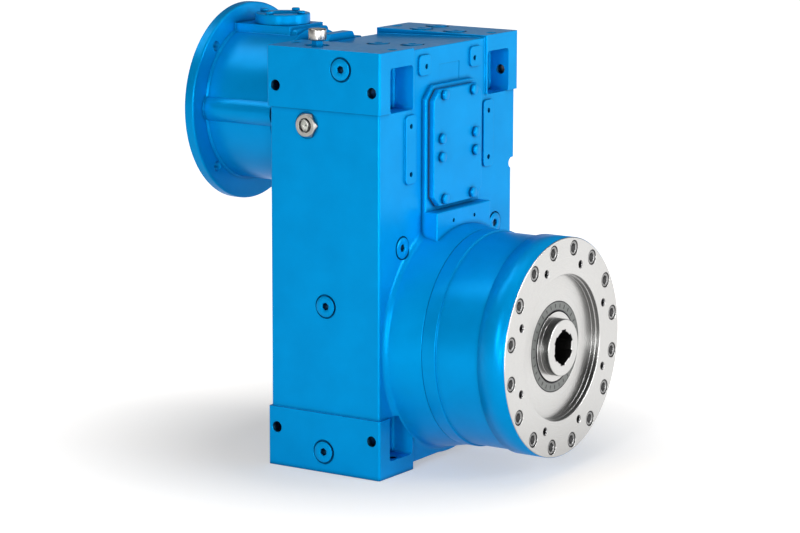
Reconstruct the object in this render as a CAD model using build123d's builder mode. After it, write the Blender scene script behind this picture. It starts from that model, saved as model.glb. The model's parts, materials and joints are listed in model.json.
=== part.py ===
"""Upright extruder gear unit: a bevel set, two helical stages and a thrust bearing housing.

Millimetres. The origin is the centre of the base foot holes on the floor face, +X runs
along the output shaft towards its flange, +Z is up, and the unit is symmetric about Y=0.
"""

import os
from math import acos, atan, cos, degrees, pi, radians, sin, tan

from build123d import *

os.makedirs("parts", exist_ok=True)

# Case outline
CASE_HEIGHT = 725.0
CASE_HALF_X = 115.0
CASE_HALF_Y = 218.0
BODY_INSET = 4.0
BODY_HALF_X = CASE_HALF_X - BODY_INSET
BODY_HALF_Y = CASE_HALF_Y - BODY_INSET
WALL = 14.0
TOP_DROP_FRONT = 4.0
TOP_DROP_BACK = 11.0
BASE_RISE = 12.0

# Foot blocks, their bolt holes and the pockets that give room for the bolts
FOOT_INNER_Y = 114.0
FOOT_HEIGHT = 103.0
FOOT_HOLE_R = 9.25
TOP_HOLE_R = 8.5
FOOT_HOLE_X = 98.0
FOOT_HOLE_Y = 156.0
FOOT_HOLE_END = 67.0
POCKET_Y = (118.0, 187.0)
POCKET_DEPTH = 40.0
POCKET_ROOF = 28.0
POCKET_HEIGHT = 76.0
POCKET_ROUND = 7.0
CORE_HALF_X = 56.0
ROOM_HALF_Y = 184.0
CAST_ROUND = 2.5

# The far side steps in below a cove
FAR_STEP_Y = 205.0
FAR_STEP_Z = 500.0
COVE_R = 9.0

# Shaft heights and gear sets
Z_OUT = 220.0
Z_MID = 415.0
Z_IN = 594.0
TEETH_A = (16, 55)
TEETH_B = (15, 50)
MODULE_A = 2 * (Z_IN - Z_MID) / sum(TEETH_A)
MODULE_B = 2 * (Z_MID - Z_OUT) / sum(TEETH_B)
HELIX = 12.0
PRESSURE = radians(20)
ADDENDUM = 0.85
DEDENDUM = 1.15
TOOTH_THIN = 0.25
STAGE_A_X = (-68.0, -26.0)
STAGE_B_X = (-12.0, 50.0)
PINION_OVERHANG = 2.0

# Bevel set under the round cap
X_CROSS = -237.0
BEVEL_TEETH = 20
BEVEL_MODULE = 6.0
BEVEL_FAR = BEVEL_TEETH * BEVEL_MODULE / 2
BEVEL_NEAR = 40.0

# Clearances
FIT = 0.05
RACE_GAP = 0.3
RUN_GAP = 0.5

# Bearings as (bore radius, outside radius, width, ball radius, ball count)
OUT_REAR = (45.0, 70.0, 24.0, 8.5, 11)
OUT_FRONT = (60.0, 90.0, 28.0, 10.0, 12)
MID = (22.5, 50.0, 25.0, 9.0, 8)
FIRST = (30.0, 55.0, 22.0, 8.5, 9)
INPUT = (30.0, 47.5, 16.0, 5.5, 11)
CROSS = (17.5, 31.0, 14.0, 4.5, 9)
OUT_REAR_X = -108.0
OUT_FRONT_X = 262.0
MID_X = (-108.0, 70.0)
FIRST_X = (-153.0, 73.0)
INPUT_X = -314.0
CROSS_Z = (670.0, 708.0)

# Front cover, its seat and the box below it
SEAT_X = 119.0
SEAT_HALF_Y = 85.0
SEAT_TOP = 657.0
SEAT_CORNER = 22.0
GASKET = 1.0
COVER_THICK = 10.0
COVER_HALF_Y = 76.0
COVER_Z = (450.0, 650.0)
COVER_CORNER = 17.0
COVER_BOLTS = ((45.5, 640.0), (53.0, 566.0), (53.0, 534.5), (44.0, 461.5))
STEP_X = 143.0
STEP_TOP = 443.0

# Thrust barrel and its flange
BOSS_ROOT_R = 198.0
BOSS_R = 187.0
BOSS_END = 178.0
BARREL_BAND_END = 205.0
BARREL_R = 184.0
BARREL_END = 288.0
FLANGE_R = 188.0
FLANGE_X = 342.0
SPIGOT_R = 150.0
THRUST_R = 125.0
THRUST_X = (172.0, 250.0)
SCREW_R = 8.0
SCREW_COUNT = 16
SCREW_PITCH_R = 170.0
TAP_R = 7.0
TAP_COUNT = 8
TAP_PITCH_R = 146.0
RECESS_R = 125.0
RECESS_DEPTH = 15.5
RECESS_STEP = 1.5

# Output shaft
SHAFT_R = 60.0
WHEEL_SEAT_R = 55.0
NOSE_R = 48.8
NOSE_X = 343.0
NOSE_LENGTH = 15.5
SPLINE_R = 27.8
SPLINE_ROOT_R = 30.6
SPLINE_WIDTH = 14.0
SPLINE_LENGTH = 100.0
SPLINE_GROOVES = 6
SCREW_BORE_R = 27.0
SHAFT_REAR_X = -133.0

# Rear plate
PLATE_X = (-131.0, -BODY_HALF_X)
PLATE_HALF_Y = 178.0
PLATE_NECK_HALF_Y = 106.0
PLATE_LUG_HALF_Y = (46.0, 34.0)
PLATE_Z = (112.0, 613.0, 708.0, 726.5)
OPENING_HALF_Y = 156.0
OPENING_Z = (134.0, 596.0)

# Input lantern
MOTOR_X = -323.0
MOTOR_R = 175.0
MOTOR_THICK = 19.0
MOTOR_SPIGOT_R = 125.0
MOTOR_SPIGOT_DEPTH = 6.0
MOTOR_PITCH_R = 150.0
MOTOR_HOLE_R = 9.25
MOTOR_SHAFT_R = 21.0
BELL_R = 137.0
BELL_END = -168.0
NECK_R = 118.0
JOINT_R = 148.0
JOINT_X = (-155.0, PLATE_X[0])
LANTERN_BOLT_R = 133.0
CARRIER_R = 118.0
CARRIER_X = -308.0
CARRIER_HUB_WALL = 5.0
PAD_TOP = 736.0
PAD_HALF_Y = 50.5
PAD_END = -186.0
EAR_HALF_Y = 48.5
EAR_END = -173.4
EAR_TOP = 731.5
CAP_R = 48.5
CAP_THICK = 18.0
CAP_BOLT_R = 39.5
CAP_RIM_R = 31.0

# Plugs, breather and sight glass on the outside
PLUG_SPOT_R = 20.5
PLUG_R = 18.0
PLUG_THREAD_R = 13.0
SIDE_PLUGS = ((36.0, 693.0), (2.0, 288.0), (0.0, 36.0))
TOP_PLUGS = ((-11.0, -35.0), (57.5, -33.0))
BLOCK_PLUGS = ((-37.5, 192.0), (-37.0, 140.0), (33.0, 140.0))
FRONT_PLUGS = ((-144.0, 389.0), (150.0, 391.0))
BREATHER = (-42.0, -173.0)
BREATHER_HEX_R = 9.3
BREATHER_NECK = 12.0
BREATHER_STUD_R = 6.5
BREATHER_THREAD_R = 10.0
BREATHER_CAP_R = 15.5
BREATHER_CAP_HEIGHT = 19.0
SIGHT_GLASS = (-35.5, 594.5)
SIGHT_HEX_R = 19.5
SIGHT_HEIGHT = 7.0

# Seals, thrust rollers, keys and screws inside
SEAL_REAR_R = 58.0
SEAL_FRONT_R = 78.0
SEAL_THICK = 16.0
SEAL_FRONT_X = FLANGE_X - RECESS_DEPTH - SEAL_THICK
SCREW_HEAD_DEPTH = 17.0
ROLLER_AT = (211.0, 96.0)
ROLLER_R = 17.0
ROLLER_LENGTH = 36.0
ROLLER_COUNT = 14
COLLAR_R = 78.0
RING_X = (STAGE_B_X[0] - 4.1, STAGE_B_X[0] - 0.9)
SPLINE_PHASE = 58.0

# Parallel keys as (start X, end X, width, seat depth, height over the shaft)
KEY_OUT = (-9.0, 47.0, 28.0, 10.0, 6.0)
KEY_MID = (-66.0, -28.0, 18.0, 7.0, 4.0)
KEY_FIRST = (-192.0, -162.0, 14.0, 5.5, 3.5)
MID_SEAT_R = 30.0
FIRST_STUB_R = 25.0
PILOT_R = 9.0
PILOT_BORE_R = 12.5
QUILL_R = 28.0

ALONG_X = (0, 90, 0)
AGAINST_X = (0, -90, 0)
AGAINST_Y = (90, 0, 0)
BASE = (Align.CENTER, Align.CENTER, Align.MIN)
TOP = (Align.CENTER, Align.CENTER, Align.MAX)


def cylinder_x(x0, x1, radius, y=0.0, z=0.0, mode=Mode.ADD):
    """Cylinder parallel to X between two stations."""
    with Locations(Location(((x0 + x1) / 2, y, z), ALONG_X)):
        Cylinder(radius, x1 - x0, mode=mode)


def cylinder_z(z0, z1, radius, x=0.0, y=0.0, mode=Mode.ADD):
    """Cylinder parallel to Z between two heights."""
    with Locations((x, y, (z0 + z1) / 2)):
        Cylinder(radius, z1 - z0, mode=mode)


def block(x, y, z, mode=Mode.ADD):
    """Box between pairs of limits."""
    with Locations(((x[0] + x[1]) / 2, (y[0] + y[1]) / 2, (z[0] + z[1]) / 2)):
        Box(x[1] - x[0], y[1] - y[0], z[1] - z[0], mode=mode)


def turned(points, z=0.0):
    """Solid of revolution about the X axis at height z, from (x, radius) points."""
    with BuildPart() as body:
        with BuildSketch(Plane.XZ):
            with BuildLine():
                Polyline(*[(x, z + r) for x, r in points], close=True)
            make_face()
        revolve(axis=Axis((0, 0, z), (1, 0, 0)))
    return body.part


def turned_z(points):
    """Solid of revolution about the Z axis from (radius, z) points."""
    with BuildPart() as body:
        with BuildSketch(Plane.XZ):
            with BuildLine():
                Polyline(*points, close=True)
            make_face()
        revolve(axis=Axis.Z)
    return body.part


def plate_yz(outline, x0, thickness):
    """Flat plate normal to X from (y, z) outline points."""
    with BuildPart() as plate:
        with BuildSketch(Plane.YZ.offset(x0)):
            with BuildLine():
                Polyline(*outline, close=True)
            make_face()
        extrude(amount=thickness)
    return plate.part


def mirrored(points):
    """Outline on the +Y side followed by its mirror image."""
    return list(points) + [(-y, z) for y, z in reversed(points)]


def hex_screw(shank_r, length, across_flats, head):
    """Hexagon head screw, its seat at z=0 and its shank along -Z."""
    with BuildPart() as screw:
        with BuildSketch():
            RegularPolygon(across_flats / 2, 6, major_radius=False)
        extrude(amount=head)
        chamfer(screw.faces().sort_by(Axis.Z)[-1].edges(), head * 0.15)
        cylinder_z(-length, 0.1, shank_r)
    return screw.part


def socket_screw(shank_r, length):
    """Cylinder head screw with a hexagon socket, its seat at z=0 and its shank along -Z."""
    head_r = shank_r * 1.5
    head = shank_r * 2
    with BuildPart() as screw:
        cylinder_z(0, head, head_r)
        chamfer(screw.faces().sort_by(Axis.Z)[-1].edges(), head * 0.06)
        with BuildSketch(Plane.XY.offset(head)):
            RegularPolygon(shank_r * 0.86, 6, major_radius=False)
        extrude(amount=-head * 0.5, mode=Mode.SUBTRACT)
        cylinder_z(-length, 0.1, shank_r)
    return screw.part


def screw_plug(flange_r, thread_r, length):
    """Flanged plug with a hexagon socket, its seat at z=0 and its thread along -Z."""
    with BuildPart() as plug:
        cylinder_z(0, 4, flange_r)
        chamfer(plug.faces().sort_by(Axis.Z)[-1].edges(), 0.8)
        cylinder_z(-length, 0.1, thread_r)
        with BuildSketch(Plane.XY.offset(4)):
            RegularPolygon(6, 6, major_radius=False)
        extrude(amount=-10, mode=Mode.SUBTRACT)
    return plug.part


def bearing(size):
    """Ball bearing along Z from z=0: its outer ring, its inner ring and its balls."""
    bore_r, outside_r, width, ball_r, count = size
    pitch_r = (bore_r + outside_r) / 2
    land = ball_r * 0.45
    with BuildPart() as outer:
        with BuildSketch(Plane.XZ):
            with Locations(((pitch_r + land + outside_r - FIT) / 2, width / 2)):
                Rectangle(outside_r - FIT - pitch_r - land, width)
            with Locations((pitch_r, width / 2)):
                Circle(ball_r + RACE_GAP, mode=Mode.SUBTRACT)
        revolve(axis=Axis.Z)
    with BuildPart() as inner:
        with BuildSketch(Plane.XZ):
            with Locations(((pitch_r - land + bore_r + FIT) / 2, width / 2)):
                Rectangle(pitch_r - land - bore_r - FIT, width)
            with Locations((pitch_r, width / 2)):
                Circle(ball_r + RACE_GAP, mode=Mode.SUBTRACT)
        revolve(axis=Axis.Z)
    with BuildPart() as balls:
        with Locations((0, 0, width / 2)):
            with PolarLocations(pitch_r, count):
                Sphere(ball_r)
    return outer.part, inner.part, balls.part


def placed(part, *places):
    """Copies of a part at each location, as one group."""
    with BuildPart() as group:
        with Locations(*places):
            add(part)
    return group.part


def along_x(x, z):
    """Location whose local Z runs along +X."""
    return Location((x, 0, z), ALONG_X)


def involute(angle):
    return tan(angle) - angle


def half_tooth(radius, pitch_r, teeth):
    """Half the angle that one tooth fills at a radius, thinned for backlash."""
    base_r = pitch_r * cos(PRESSURE)
    roll = acos(base_r / radius) if radius > base_r else 0.0
    return pi / (2 * teeth) - TOOTH_THIN / pitch_r + involute(PRESSURE) - involute(roll)


def polar(radius, angle):
    return (radius * cos(angle), radius * sin(angle))


def gear_wire(teeth, module, phase):
    """Closed involute outline with a tooth centred on the phase angle."""
    pitch_r = teeth * module / 2
    tip_r = pitch_r + ADDENDUM * module
    root_r = pitch_r - DEDENDUM * module
    foot_r = max(root_r, pitch_r * cos(PRESSURE))
    mid_r = (foot_r + tip_r) / 2
    foot, mid, tip = [half_tooth(r, pitch_r, teeth) for r in (foot_r, mid_r, tip_r)]
    pitch = 2 * pi / teeth
    with BuildLine() as outline:
        for k in range(teeth):
            at = phase + k * pitch
            gap = at + pitch / 2
            if root_r < foot_r:
                Line(polar(root_r, at - foot), polar(foot_r, at - foot))
            ThreePointArc(polar(foot_r, at - foot), polar(mid_r, at - mid), polar(tip_r, at - tip))
            ThreePointArc(polar(tip_r, at - tip), polar(tip_r, at), polar(tip_r, at + tip))
            ThreePointArc(polar(tip_r, at + tip), polar(mid_r, at + mid), polar(foot_r, at + foot))
            if root_r < foot_r:
                Line(polar(foot_r, at + foot), polar(root_r, at + foot))
            ThreePointArc(
                polar(root_r, at + foot), polar(root_r, gap), polar(root_r, at + pitch - foot)
            )
    return outline.wires()[0]


def helical_gear(teeth, module, width, hand, phase):
    """Helical gear along Z from z=0, with the phase angle met halfway along its width."""
    twist = hand * width * tan(radians(HELIX)) / (teeth * module / 2)
    profile = Face(gear_wire(teeth, module, phase - twist / 2))
    with BuildPart() as gear:
        add(
            Solid.extrude_linear_with_rotation(
                profile, (0, 0, 0), (0, 0, width), degrees(twist)
            )
        )
    return gear.part


def bevel_gear(phase):
    """Mitre gear whose apex is the local origin and whose teeth run along +Z."""
    cone_length = BEVEL_FAR / sin(radians(45))
    virtual_teeth = BEVEL_TEETH / cos(radians(45))

    def section_point(offset, angle, side):
        """Point at a distance from the pitch cone, in the plane of the wide end."""
        arc = half_tooth(cone_length + offset, cone_length, virtual_teeth) * (cone_length + offset)
        turn = arc / (BEVEL_FAR + offset * cos(radians(45)))
        radius = BEVEL_FAR * tan(radians(45) + atan(offset / cone_length))
        return polar(radius, angle + side * turn)

    def round_point(offset, angle):
        return polar(BEVEL_FAR * tan(radians(45) + atan(offset / cone_length)), angle)

    tip = ADDENDUM * BEVEL_MODULE
    root = -DEDENDUM * BEVEL_MODULE
    foot = max(root, cone_length * (cos(PRESSURE) - 1))
    pitch = 2 * pi / BEVEL_TEETH
    with BuildPart() as gear:
        with BuildSketch(Plane.XY.offset(BEVEL_FAR)) as wide_end:
            with BuildLine():
                for k in range(BEVEL_TEETH):
                    at = phase + k * pitch
                    heel = section_point(foot, at, -1)
                    toe = section_point(foot, at, 1)
                    middle = (foot + tip) / 2
                    ThreePointArc(heel, section_point(middle, at, -1), section_point(tip, at, -1))
                    ThreePointArc(
                        section_point(tip, at, -1), round_point(tip, at), section_point(tip, at, 1)
                    )
                    ThreePointArc(section_point(tip, at, 1), section_point(middle, at, 1), toe)
                    ThreePointArc(
                        toe, round_point(root, at + pitch / 2), section_point(foot, at + pitch, -1)
                    )
            make_face()
        loft(sections=[wide_end.sketch.faces()[0], Vertex(0, 0, 0)], ruled=True, mode=Mode.ADD)
        cylinder_z(-1, BEVEL_NEAR, 2 * BEVEL_FAR, mode=Mode.SUBTRACT)
    return gear.part


def race_x(radius, side):
    """Station of a thrust raceway: side 1 on the housing washer, -1 on the shaft washer."""
    return ROLLER_AT[0] + radius - ROLLER_AT[1] - side * 2 ** 0.5 * (ROLLER_R + RACE_GAP)


def key_slot(key, shaft_r, height, gap):
    """Room of a parallel key on top of a shaft, with a gap all round."""
    start, end, width, depth, over = key
    with BuildPart() as slot:
        block(
            (start - gap, end + gap),
            (-width / 2 - gap, width / 2 + gap),
            (height + shaft_r - depth - gap, height + shaft_r + over + gap),
        )
    return slot.part


def gear_wheel(teeth, module, x, hand, bore_r, hub_r, rim_r, web_cut, height, key):
    """Keyed helical wheel on an X axis, its sides recessed to a web with six holes."""
    width = x[1] - x[0]
    with BuildPart() as wheel:
        with Locations(along_x(x[0], height)):
            add(helical_gear(teeth, module, width, hand, pi + pi / teeth))
            for start in (0, width - web_cut):
                with Locations((0, 0, start)):
                    Cylinder(rim_r, web_cut, align=BASE, mode=Mode.SUBTRACT)
            Cylinder(hub_r, width, align=BASE)
            Cylinder(bore_r + FIT, 3 * width, mode=Mode.SUBTRACT)
            with PolarLocations((hub_r + rim_r) / 2, 6):
                Cylinder((rim_r - hub_r) / 4, 3 * width, mode=Mode.SUBTRACT)
        open_key = (x[0] - 1, x[1] + 1) + key[2:]
        add(key_slot(open_key, bore_r, height, FIT), mode=Mode.SUBTRACT)
    return wheel.part


def countersunk_screw(shank_r, length):
    """Countersunk screw, its top at z=0 and its shank along -Z."""
    with BuildPart() as screw:
        with Locations((0, 0, -shank_r)):
            Cone(shank_r, 2 * shank_r, shank_r, align=BASE)
        cylinder_z(-length, -shank_r + 0.1, shank_r)
        with BuildSketch():
            RegularPolygon(shank_r * 0.6, 6, major_radius=False)
        extrude(amount=-shank_r * 0.7, mode=Mode.SUBTRACT)
    return screw.part


def middle_top(x):
    """Height of the sloped strip between the top foot blocks."""
    share = (x + CASE_HALF_X + 1) / (2 * CASE_HALF_X + 2)
    return CASE_HEIGHT - TOP_DROP_BACK + share * (TOP_DROP_BACK - TOP_DROP_FRONT)


def on_circle(radius, angles):
    """(y, z) points about the input axis at angles in degrees from +Y."""
    return [(radius * cos(radians(a)), Z_IN + radius * sin(radians(a))) for a in angles]


SEAT_DEPTH = 4.0
PLUG_SEATS = (
    [
        Location((x, -(BODY_HALF_Y if FOOT_HEIGHT < z < CASE_HEIGHT - FOOT_HEIGHT
                       else CASE_HALF_Y) + SEAT_DEPTH, z), AGAINST_Y)
        for x, z in SIDE_PLUGS
    ]
    + [Location((x, y, middle_top(x) - SEAT_DEPTH)) for x, y in TOP_PLUGS]
    + [Location((x, y, CASE_HEIGHT - SEAT_DEPTH)) for x, y in BLOCK_PLUGS]
    + [Location((BODY_HALF_X - SEAT_DEPTH, y, z), ALONG_X) for y, z in FRONT_PLUGS]
)
SIGHT_GLASS_SEAT = Location((SIGHT_GLASS[0], -BODY_HALF_Y + 1, SIGHT_GLASS[1]), AGAINST_Y)
BREATHER_SEAT = Location((BREATHER[0], BREATHER[1], CASE_HEIGHT - SEAT_DEPTH + 1))
PLATE_SCREWS = [(s * 167, h) for s in (-1, 1) for h in (123, 215, 307, 399, 491, 583)] + [
    (-56, 123), (56, 123),
]
LANTERN_BOLTS = on_circle(LANTERN_BOLT_R, (-90, -45, 0, 45, 135, 180, 225))
COVER_OUTLINE = mirrored([
    (COVER_HALF_Y - COVER_CORNER, COVER_Z[0]),
    (COVER_HALF_Y, COVER_Z[0] + COVER_CORNER),
    (COVER_HALF_Y, COVER_Z[1] - COVER_CORNER),
    (COVER_HALF_Y - COVER_CORNER, COVER_Z[1]),
])
# Pads on the front as (y, z, width, height), and the tapped holes in them
PADS = ((80.0, 692.5, 35.0, 35.0), (123.0, 554.0, 32.0, 117.0))
PAD_HOLES = ((76.0, 690.0), (123.0, 593.5), (123.0, 512.0))
PAD_HOLE_R = 4.3


def gear_case_body():
    """Outside of the case: foot blocks, covers' seats, pads and the barrel's root."""
    with BuildPart() as body:
        with Locations((0, 0, CASE_HEIGHT / 2)):
            Box(2 * BODY_HALF_X, 2 * BODY_HALF_Y, CASE_HEIGHT)
        for z in ((0, FOOT_HEIGHT), (CASE_HEIGHT - FOOT_HEIGHT, CASE_HEIGHT)):
            block((-CASE_HALF_X, CASE_HALF_X), (FOOT_INNER_Y, CASE_HALF_Y), z)
            block((-CASE_HALF_X, CASE_HALF_X), (-CASE_HALF_Y, -FOOT_INNER_Y), z)
        # The far side is cast thinner below a cove.
        block(
            (-CASE_HALF_X, CASE_HALF_X), (FAR_STEP_Y, CASE_HALF_Y + 1), (FOOT_HEIGHT, FAR_STEP_Z),
            mode=Mode.SUBTRACT,
        )
        corners = body.edges().filter_by(Axis.Z)
        fillet(corners.filter_by(lambda e: abs(e.center().Y) > FAR_STEP_Y - 1), 4)
        cylinder_x(
            -CASE_HALF_X, CASE_HALF_X, COVE_R, FAR_STEP_Y, FAR_STEP_Z - COVE_R, Mode.SUBTRACT
        )
        fillet(
            body.edges().filter_by(Axis.X).filter_by(
                lambda e: e.center().Y > FAR_STEP_Y + 1 and abs(e.center().Z - FAR_STEP_Z) < 1
            ),
            CAST_ROUND,
        )
        # The strip between the foot blocks falls towards the back and clears the floor.
        with BuildSketch(Plane.XZ):
            with BuildLine():
                Polyline(
                    (-CASE_HALF_X - 1, CASE_HEIGHT - TOP_DROP_BACK),
                    (CASE_HALF_X + 1, CASE_HEIGHT - TOP_DROP_FRONT),
                    (CASE_HALF_X + 1, CASE_HEIGHT + 1),
                    (-CASE_HALF_X - 1, CASE_HEIGHT + 1),
                    close=True,
                )
            make_face()
        extrude(amount=FOOT_INNER_Y, both=True, mode=Mode.SUBTRACT)
        block(
            (-CASE_HALF_X - 1, CASE_HALF_X + 1), (-FOOT_INNER_Y, FOOT_INNER_Y), (-1, BASE_RISE),
            mode=Mode.SUBTRACT,
        )
        # Seat of the front cover and the stepped box that runs into the barrel.
        with BuildSketch(Plane.YZ.offset(BODY_HALF_X - 10)):
            with BuildLine():
                Polyline(
                    *mirrored([
                        (SEAT_HALF_Y, Z_OUT),
                        (SEAT_HALF_Y, SEAT_TOP - SEAT_CORNER),
                        (SEAT_HALF_Y - SEAT_CORNER, SEAT_TOP),
                    ]),
                    close=True,
                )
            make_face()
        extrude(amount=SEAT_X - BODY_HALF_X + 10)
        with BuildPart(mode=Mode.PRIVATE) as step:
            block((BODY_HALF_X - 10, STEP_X), (-SEAT_HALF_Y, SEAT_HALF_Y), (Z_OUT, STEP_TOP))
            fillet(step.edges().filter_by(Axis.Z).group_by(Axis.X)[-1], CAST_ROUND)
        add(step.part)
        # Root of the barrel: a drafted boss with a soft cast foot.
        foot_r = 12.0
        with BuildSketch(Plane.XZ):
            with BuildLine():
                Line((BODY_HALF_X - 10, Z_OUT), (BODY_HALF_X - 10, Z_OUT + BOSS_ROOT_R + foot_r))
                Line(
                    (BODY_HALF_X - 10, Z_OUT + BOSS_ROOT_R + foot_r),
                    (BODY_HALF_X, Z_OUT + BOSS_ROOT_R + foot_r),
                )
                RadiusArc(
                    (BODY_HALF_X, Z_OUT + BOSS_ROOT_R + foot_r),
                    (BODY_HALF_X + foot_r, Z_OUT + BOSS_ROOT_R),
                    -foot_r,
                )
                Line((BODY_HALF_X + foot_r, Z_OUT + BOSS_ROOT_R), (BOSS_END - 1, Z_OUT + BOSS_R))
                Line((BOSS_END - 1, Z_OUT + BOSS_R), (BOSS_END, Z_OUT + BOSS_R - 1))
                Line((BOSS_END, Z_OUT + BOSS_R - 1), (BOSS_END, Z_OUT))
                Line((BOSS_END, Z_OUT), (BODY_HALF_X - 10, Z_OUT))
            make_face()
        revolve(axis=Axis((0, 0, Z_OUT), (1, 0, 0)))
        # Raised pads with a tapped hole or two.
        for y, z, wide, high in PADS:
            for side in (-1, 1):
                with BuildPart(mode=Mode.PRIVATE) as pad:
                    with BuildSketch(Plane.YZ.offset(BODY_HALF_X - 1)):
                        with Locations((side * y, z)):
                            RectangleRounded(wide, high, 8)
                    extrude(amount=CASE_HALF_X - BODY_HALF_X + 1)
                    fillet(pad.faces().sort_by(Axis.X)[-1].edges(), CAST_ROUND / 2)
                add(pad.part)
    return body.part


with BuildPart() as gear_case:
    add(gear_case_body())
    # Inside of the casting: a high middle room and rooms between the foot pockets.
    inner_x = BODY_HALF_X - WALL
    block((-inner_x, inner_x), (-100, 100), (BASE_RISE + WALL, 700), mode=Mode.SUBTRACT)
    room_y = (-ROOM_HALF_Y, ROOM_HALF_Y)
    block((-inner_x, inner_x), room_y, (118, 609), mode=Mode.SUBTRACT)
    block((-CORE_HALF_X, CORE_HALF_X), room_y, (24, 702), mode=Mode.SUBTRACT)
    for y_side in (-1, 1):
        pocket_y = sorted((y_side * POCKET_Y[0], y_side * POCKET_Y[1]))
        for low in (POCKET_ROOF, CASE_HEIGHT - POCKET_ROOF - POCKET_HEIGHT):
            for x_side in (-1, 1):
                x_far = x_side * (CASE_HALF_X + 1)
                x_near = x_side * (CASE_HALF_X - POCKET_DEPTH)
                with BuildPart(mode=Mode.PRIVATE) as pocket:
                    block(sorted((x_near, x_far)), pocket_y, (low, low + POCKET_HEIGHT))
                    deep = pocket.edges().filter_by(Axis.Z).group_by(Axis.X)[0 if x_side > 0 else -1]
                    fillet(deep + pocket.edges().filter_by(Axis.X), POCKET_ROUND)
                add(pocket.part, mode=Mode.SUBTRACT)
    # Rear opening that the gears go in through.
    back = (-BODY_HALF_X - 5, -inner_x + 1)
    block(back, (-OPENING_HALF_Y, OPENING_HALF_Y), OPENING_Z, mode=Mode.SUBTRACT)
    block(back, (-88, 88), (OPENING_Z[1] - 1, 690), mode=Mode.SUBTRACT)
    # Bearing seats in the front wall.
    for size, start, height in ((FIRST, FIRST_X[1], Z_IN), (MID, MID_X[1], Z_MID)):
        cylinder_x(start - 3, inner_x + 2, size[1] + 12, z=height)
        cylinder_x(start - 4, start + size[2], size[1], z=height, mode=Mode.SUBTRACT)
    # Window under the front cover, and the mouth for the thrust housing.
    block((inner_x - 5, SEAT_X + 1), (-60, 60), (484, 522), mode=Mode.SUBTRACT)
    cylinder_x(inner_x - 1, BOSS_END + 1, SPIGOT_R + FIT, z=Z_OUT, mode=Mode.SUBTRACT)
    # Foot holes: upright ones through base and top, level ones through both sides.
    corners = [(x * FOOT_HOLE_X, y * FOOT_HOLE_Y) for x in (-1, 1) for y in (-1, 1)]
    for x, y in corners:
        cylinder_z(-1, POCKET_ROOF + 1, FOOT_HOLE_R, x, y, Mode.SUBTRACT)
        cylinder_z(CASE_HEIGHT - POCKET_ROOF - 1, CASE_HEIGHT + 1, TOP_HOLE_R, x, y, Mode.SUBTRACT)
    side_wall = CASE_HALF_Y - POCKET_Y[1]
    for y_side, radius in ((-1, FOOT_HOLE_R), (1, TOP_HOLE_R)):
        with Locations(*[
            Location((x * FOOT_HOLE_X, y_side * (CASE_HALF_Y - side_wall / 2), z), AGAINST_Y)
            for x in (-1, 1)
            for z in (FOOT_HOLE_END, CASE_HEIGHT - FOOT_HOLE_END)
        ]):
            Cylinder(radius, side_wall + 2, mode=Mode.SUBTRACT)
    # Tapped holes in the pads, the stepped box, the cover seat and the barrel's end.
    for y, z in PAD_HOLES:
        for side in (-1, 1):
            cylinder_x(CASE_HALF_X - 14, CASE_HALF_X + 1, PAD_HOLE_R, side * y, z, Mode.SUBTRACT)
    for side in (-1, 1):
        cylinder_x(STEP_X - 14, STEP_X + 1, 3.4, side * 33, 424.5, Mode.SUBTRACT)
        for y, z in COVER_BOLTS:
            cylinder_x(SEAT_X - 15, SEAT_X + 1, 5 + FIT, side * y, z, Mode.SUBTRACT)
    with Locations(Location((BOSS_END, 0, Z_OUT), ALONG_X)):
        with PolarLocations(SCREW_PITCH_R, SCREW_COUNT, start_angle=180 / SCREW_COUNT):
            Cylinder(SCREW_R + FIT, 64, mode=Mode.SUBTRACT)
    # Blank name field on the front.
    with Locations((BODY_HALF_X, 0, 674)):
        Box(1.6, 64, 31, mode=Mode.SUBTRACT)
    # Screw holes of the rear plate.
    for y, z in PLATE_SCREWS:
        cylinder_x(-BODY_HALF_X - 1, -BODY_HALF_X + WALL + 1, 6 + FIT, y, z, Mode.SUBTRACT)
    # Spot faces and threads of the plugs, sight glass and breather.
    with Locations(*PLUG_SEATS):
        Cylinder(PLUG_SPOT_R, 12, align=BASE, mode=Mode.SUBTRACT)
        Cylinder(PLUG_THREAD_R + FIT, 36, align=TOP, mode=Mode.SUBTRACT)
    with Locations(SIGHT_GLASS_SEAT):
        Cylinder(23, 8, align=BASE, mode=Mode.SUBTRACT)
        Cylinder(14 + FIT, 24, align=TOP, mode=Mode.SUBTRACT)
    with Locations(BREATHER_SEAT):
        Cylinder(PLUG_SPOT_R, 12, align=BASE, mode=Mode.SUBTRACT)
        Cylinder(10 + FIT, 36, align=TOP, mode=Mode.SUBTRACT)

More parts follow.
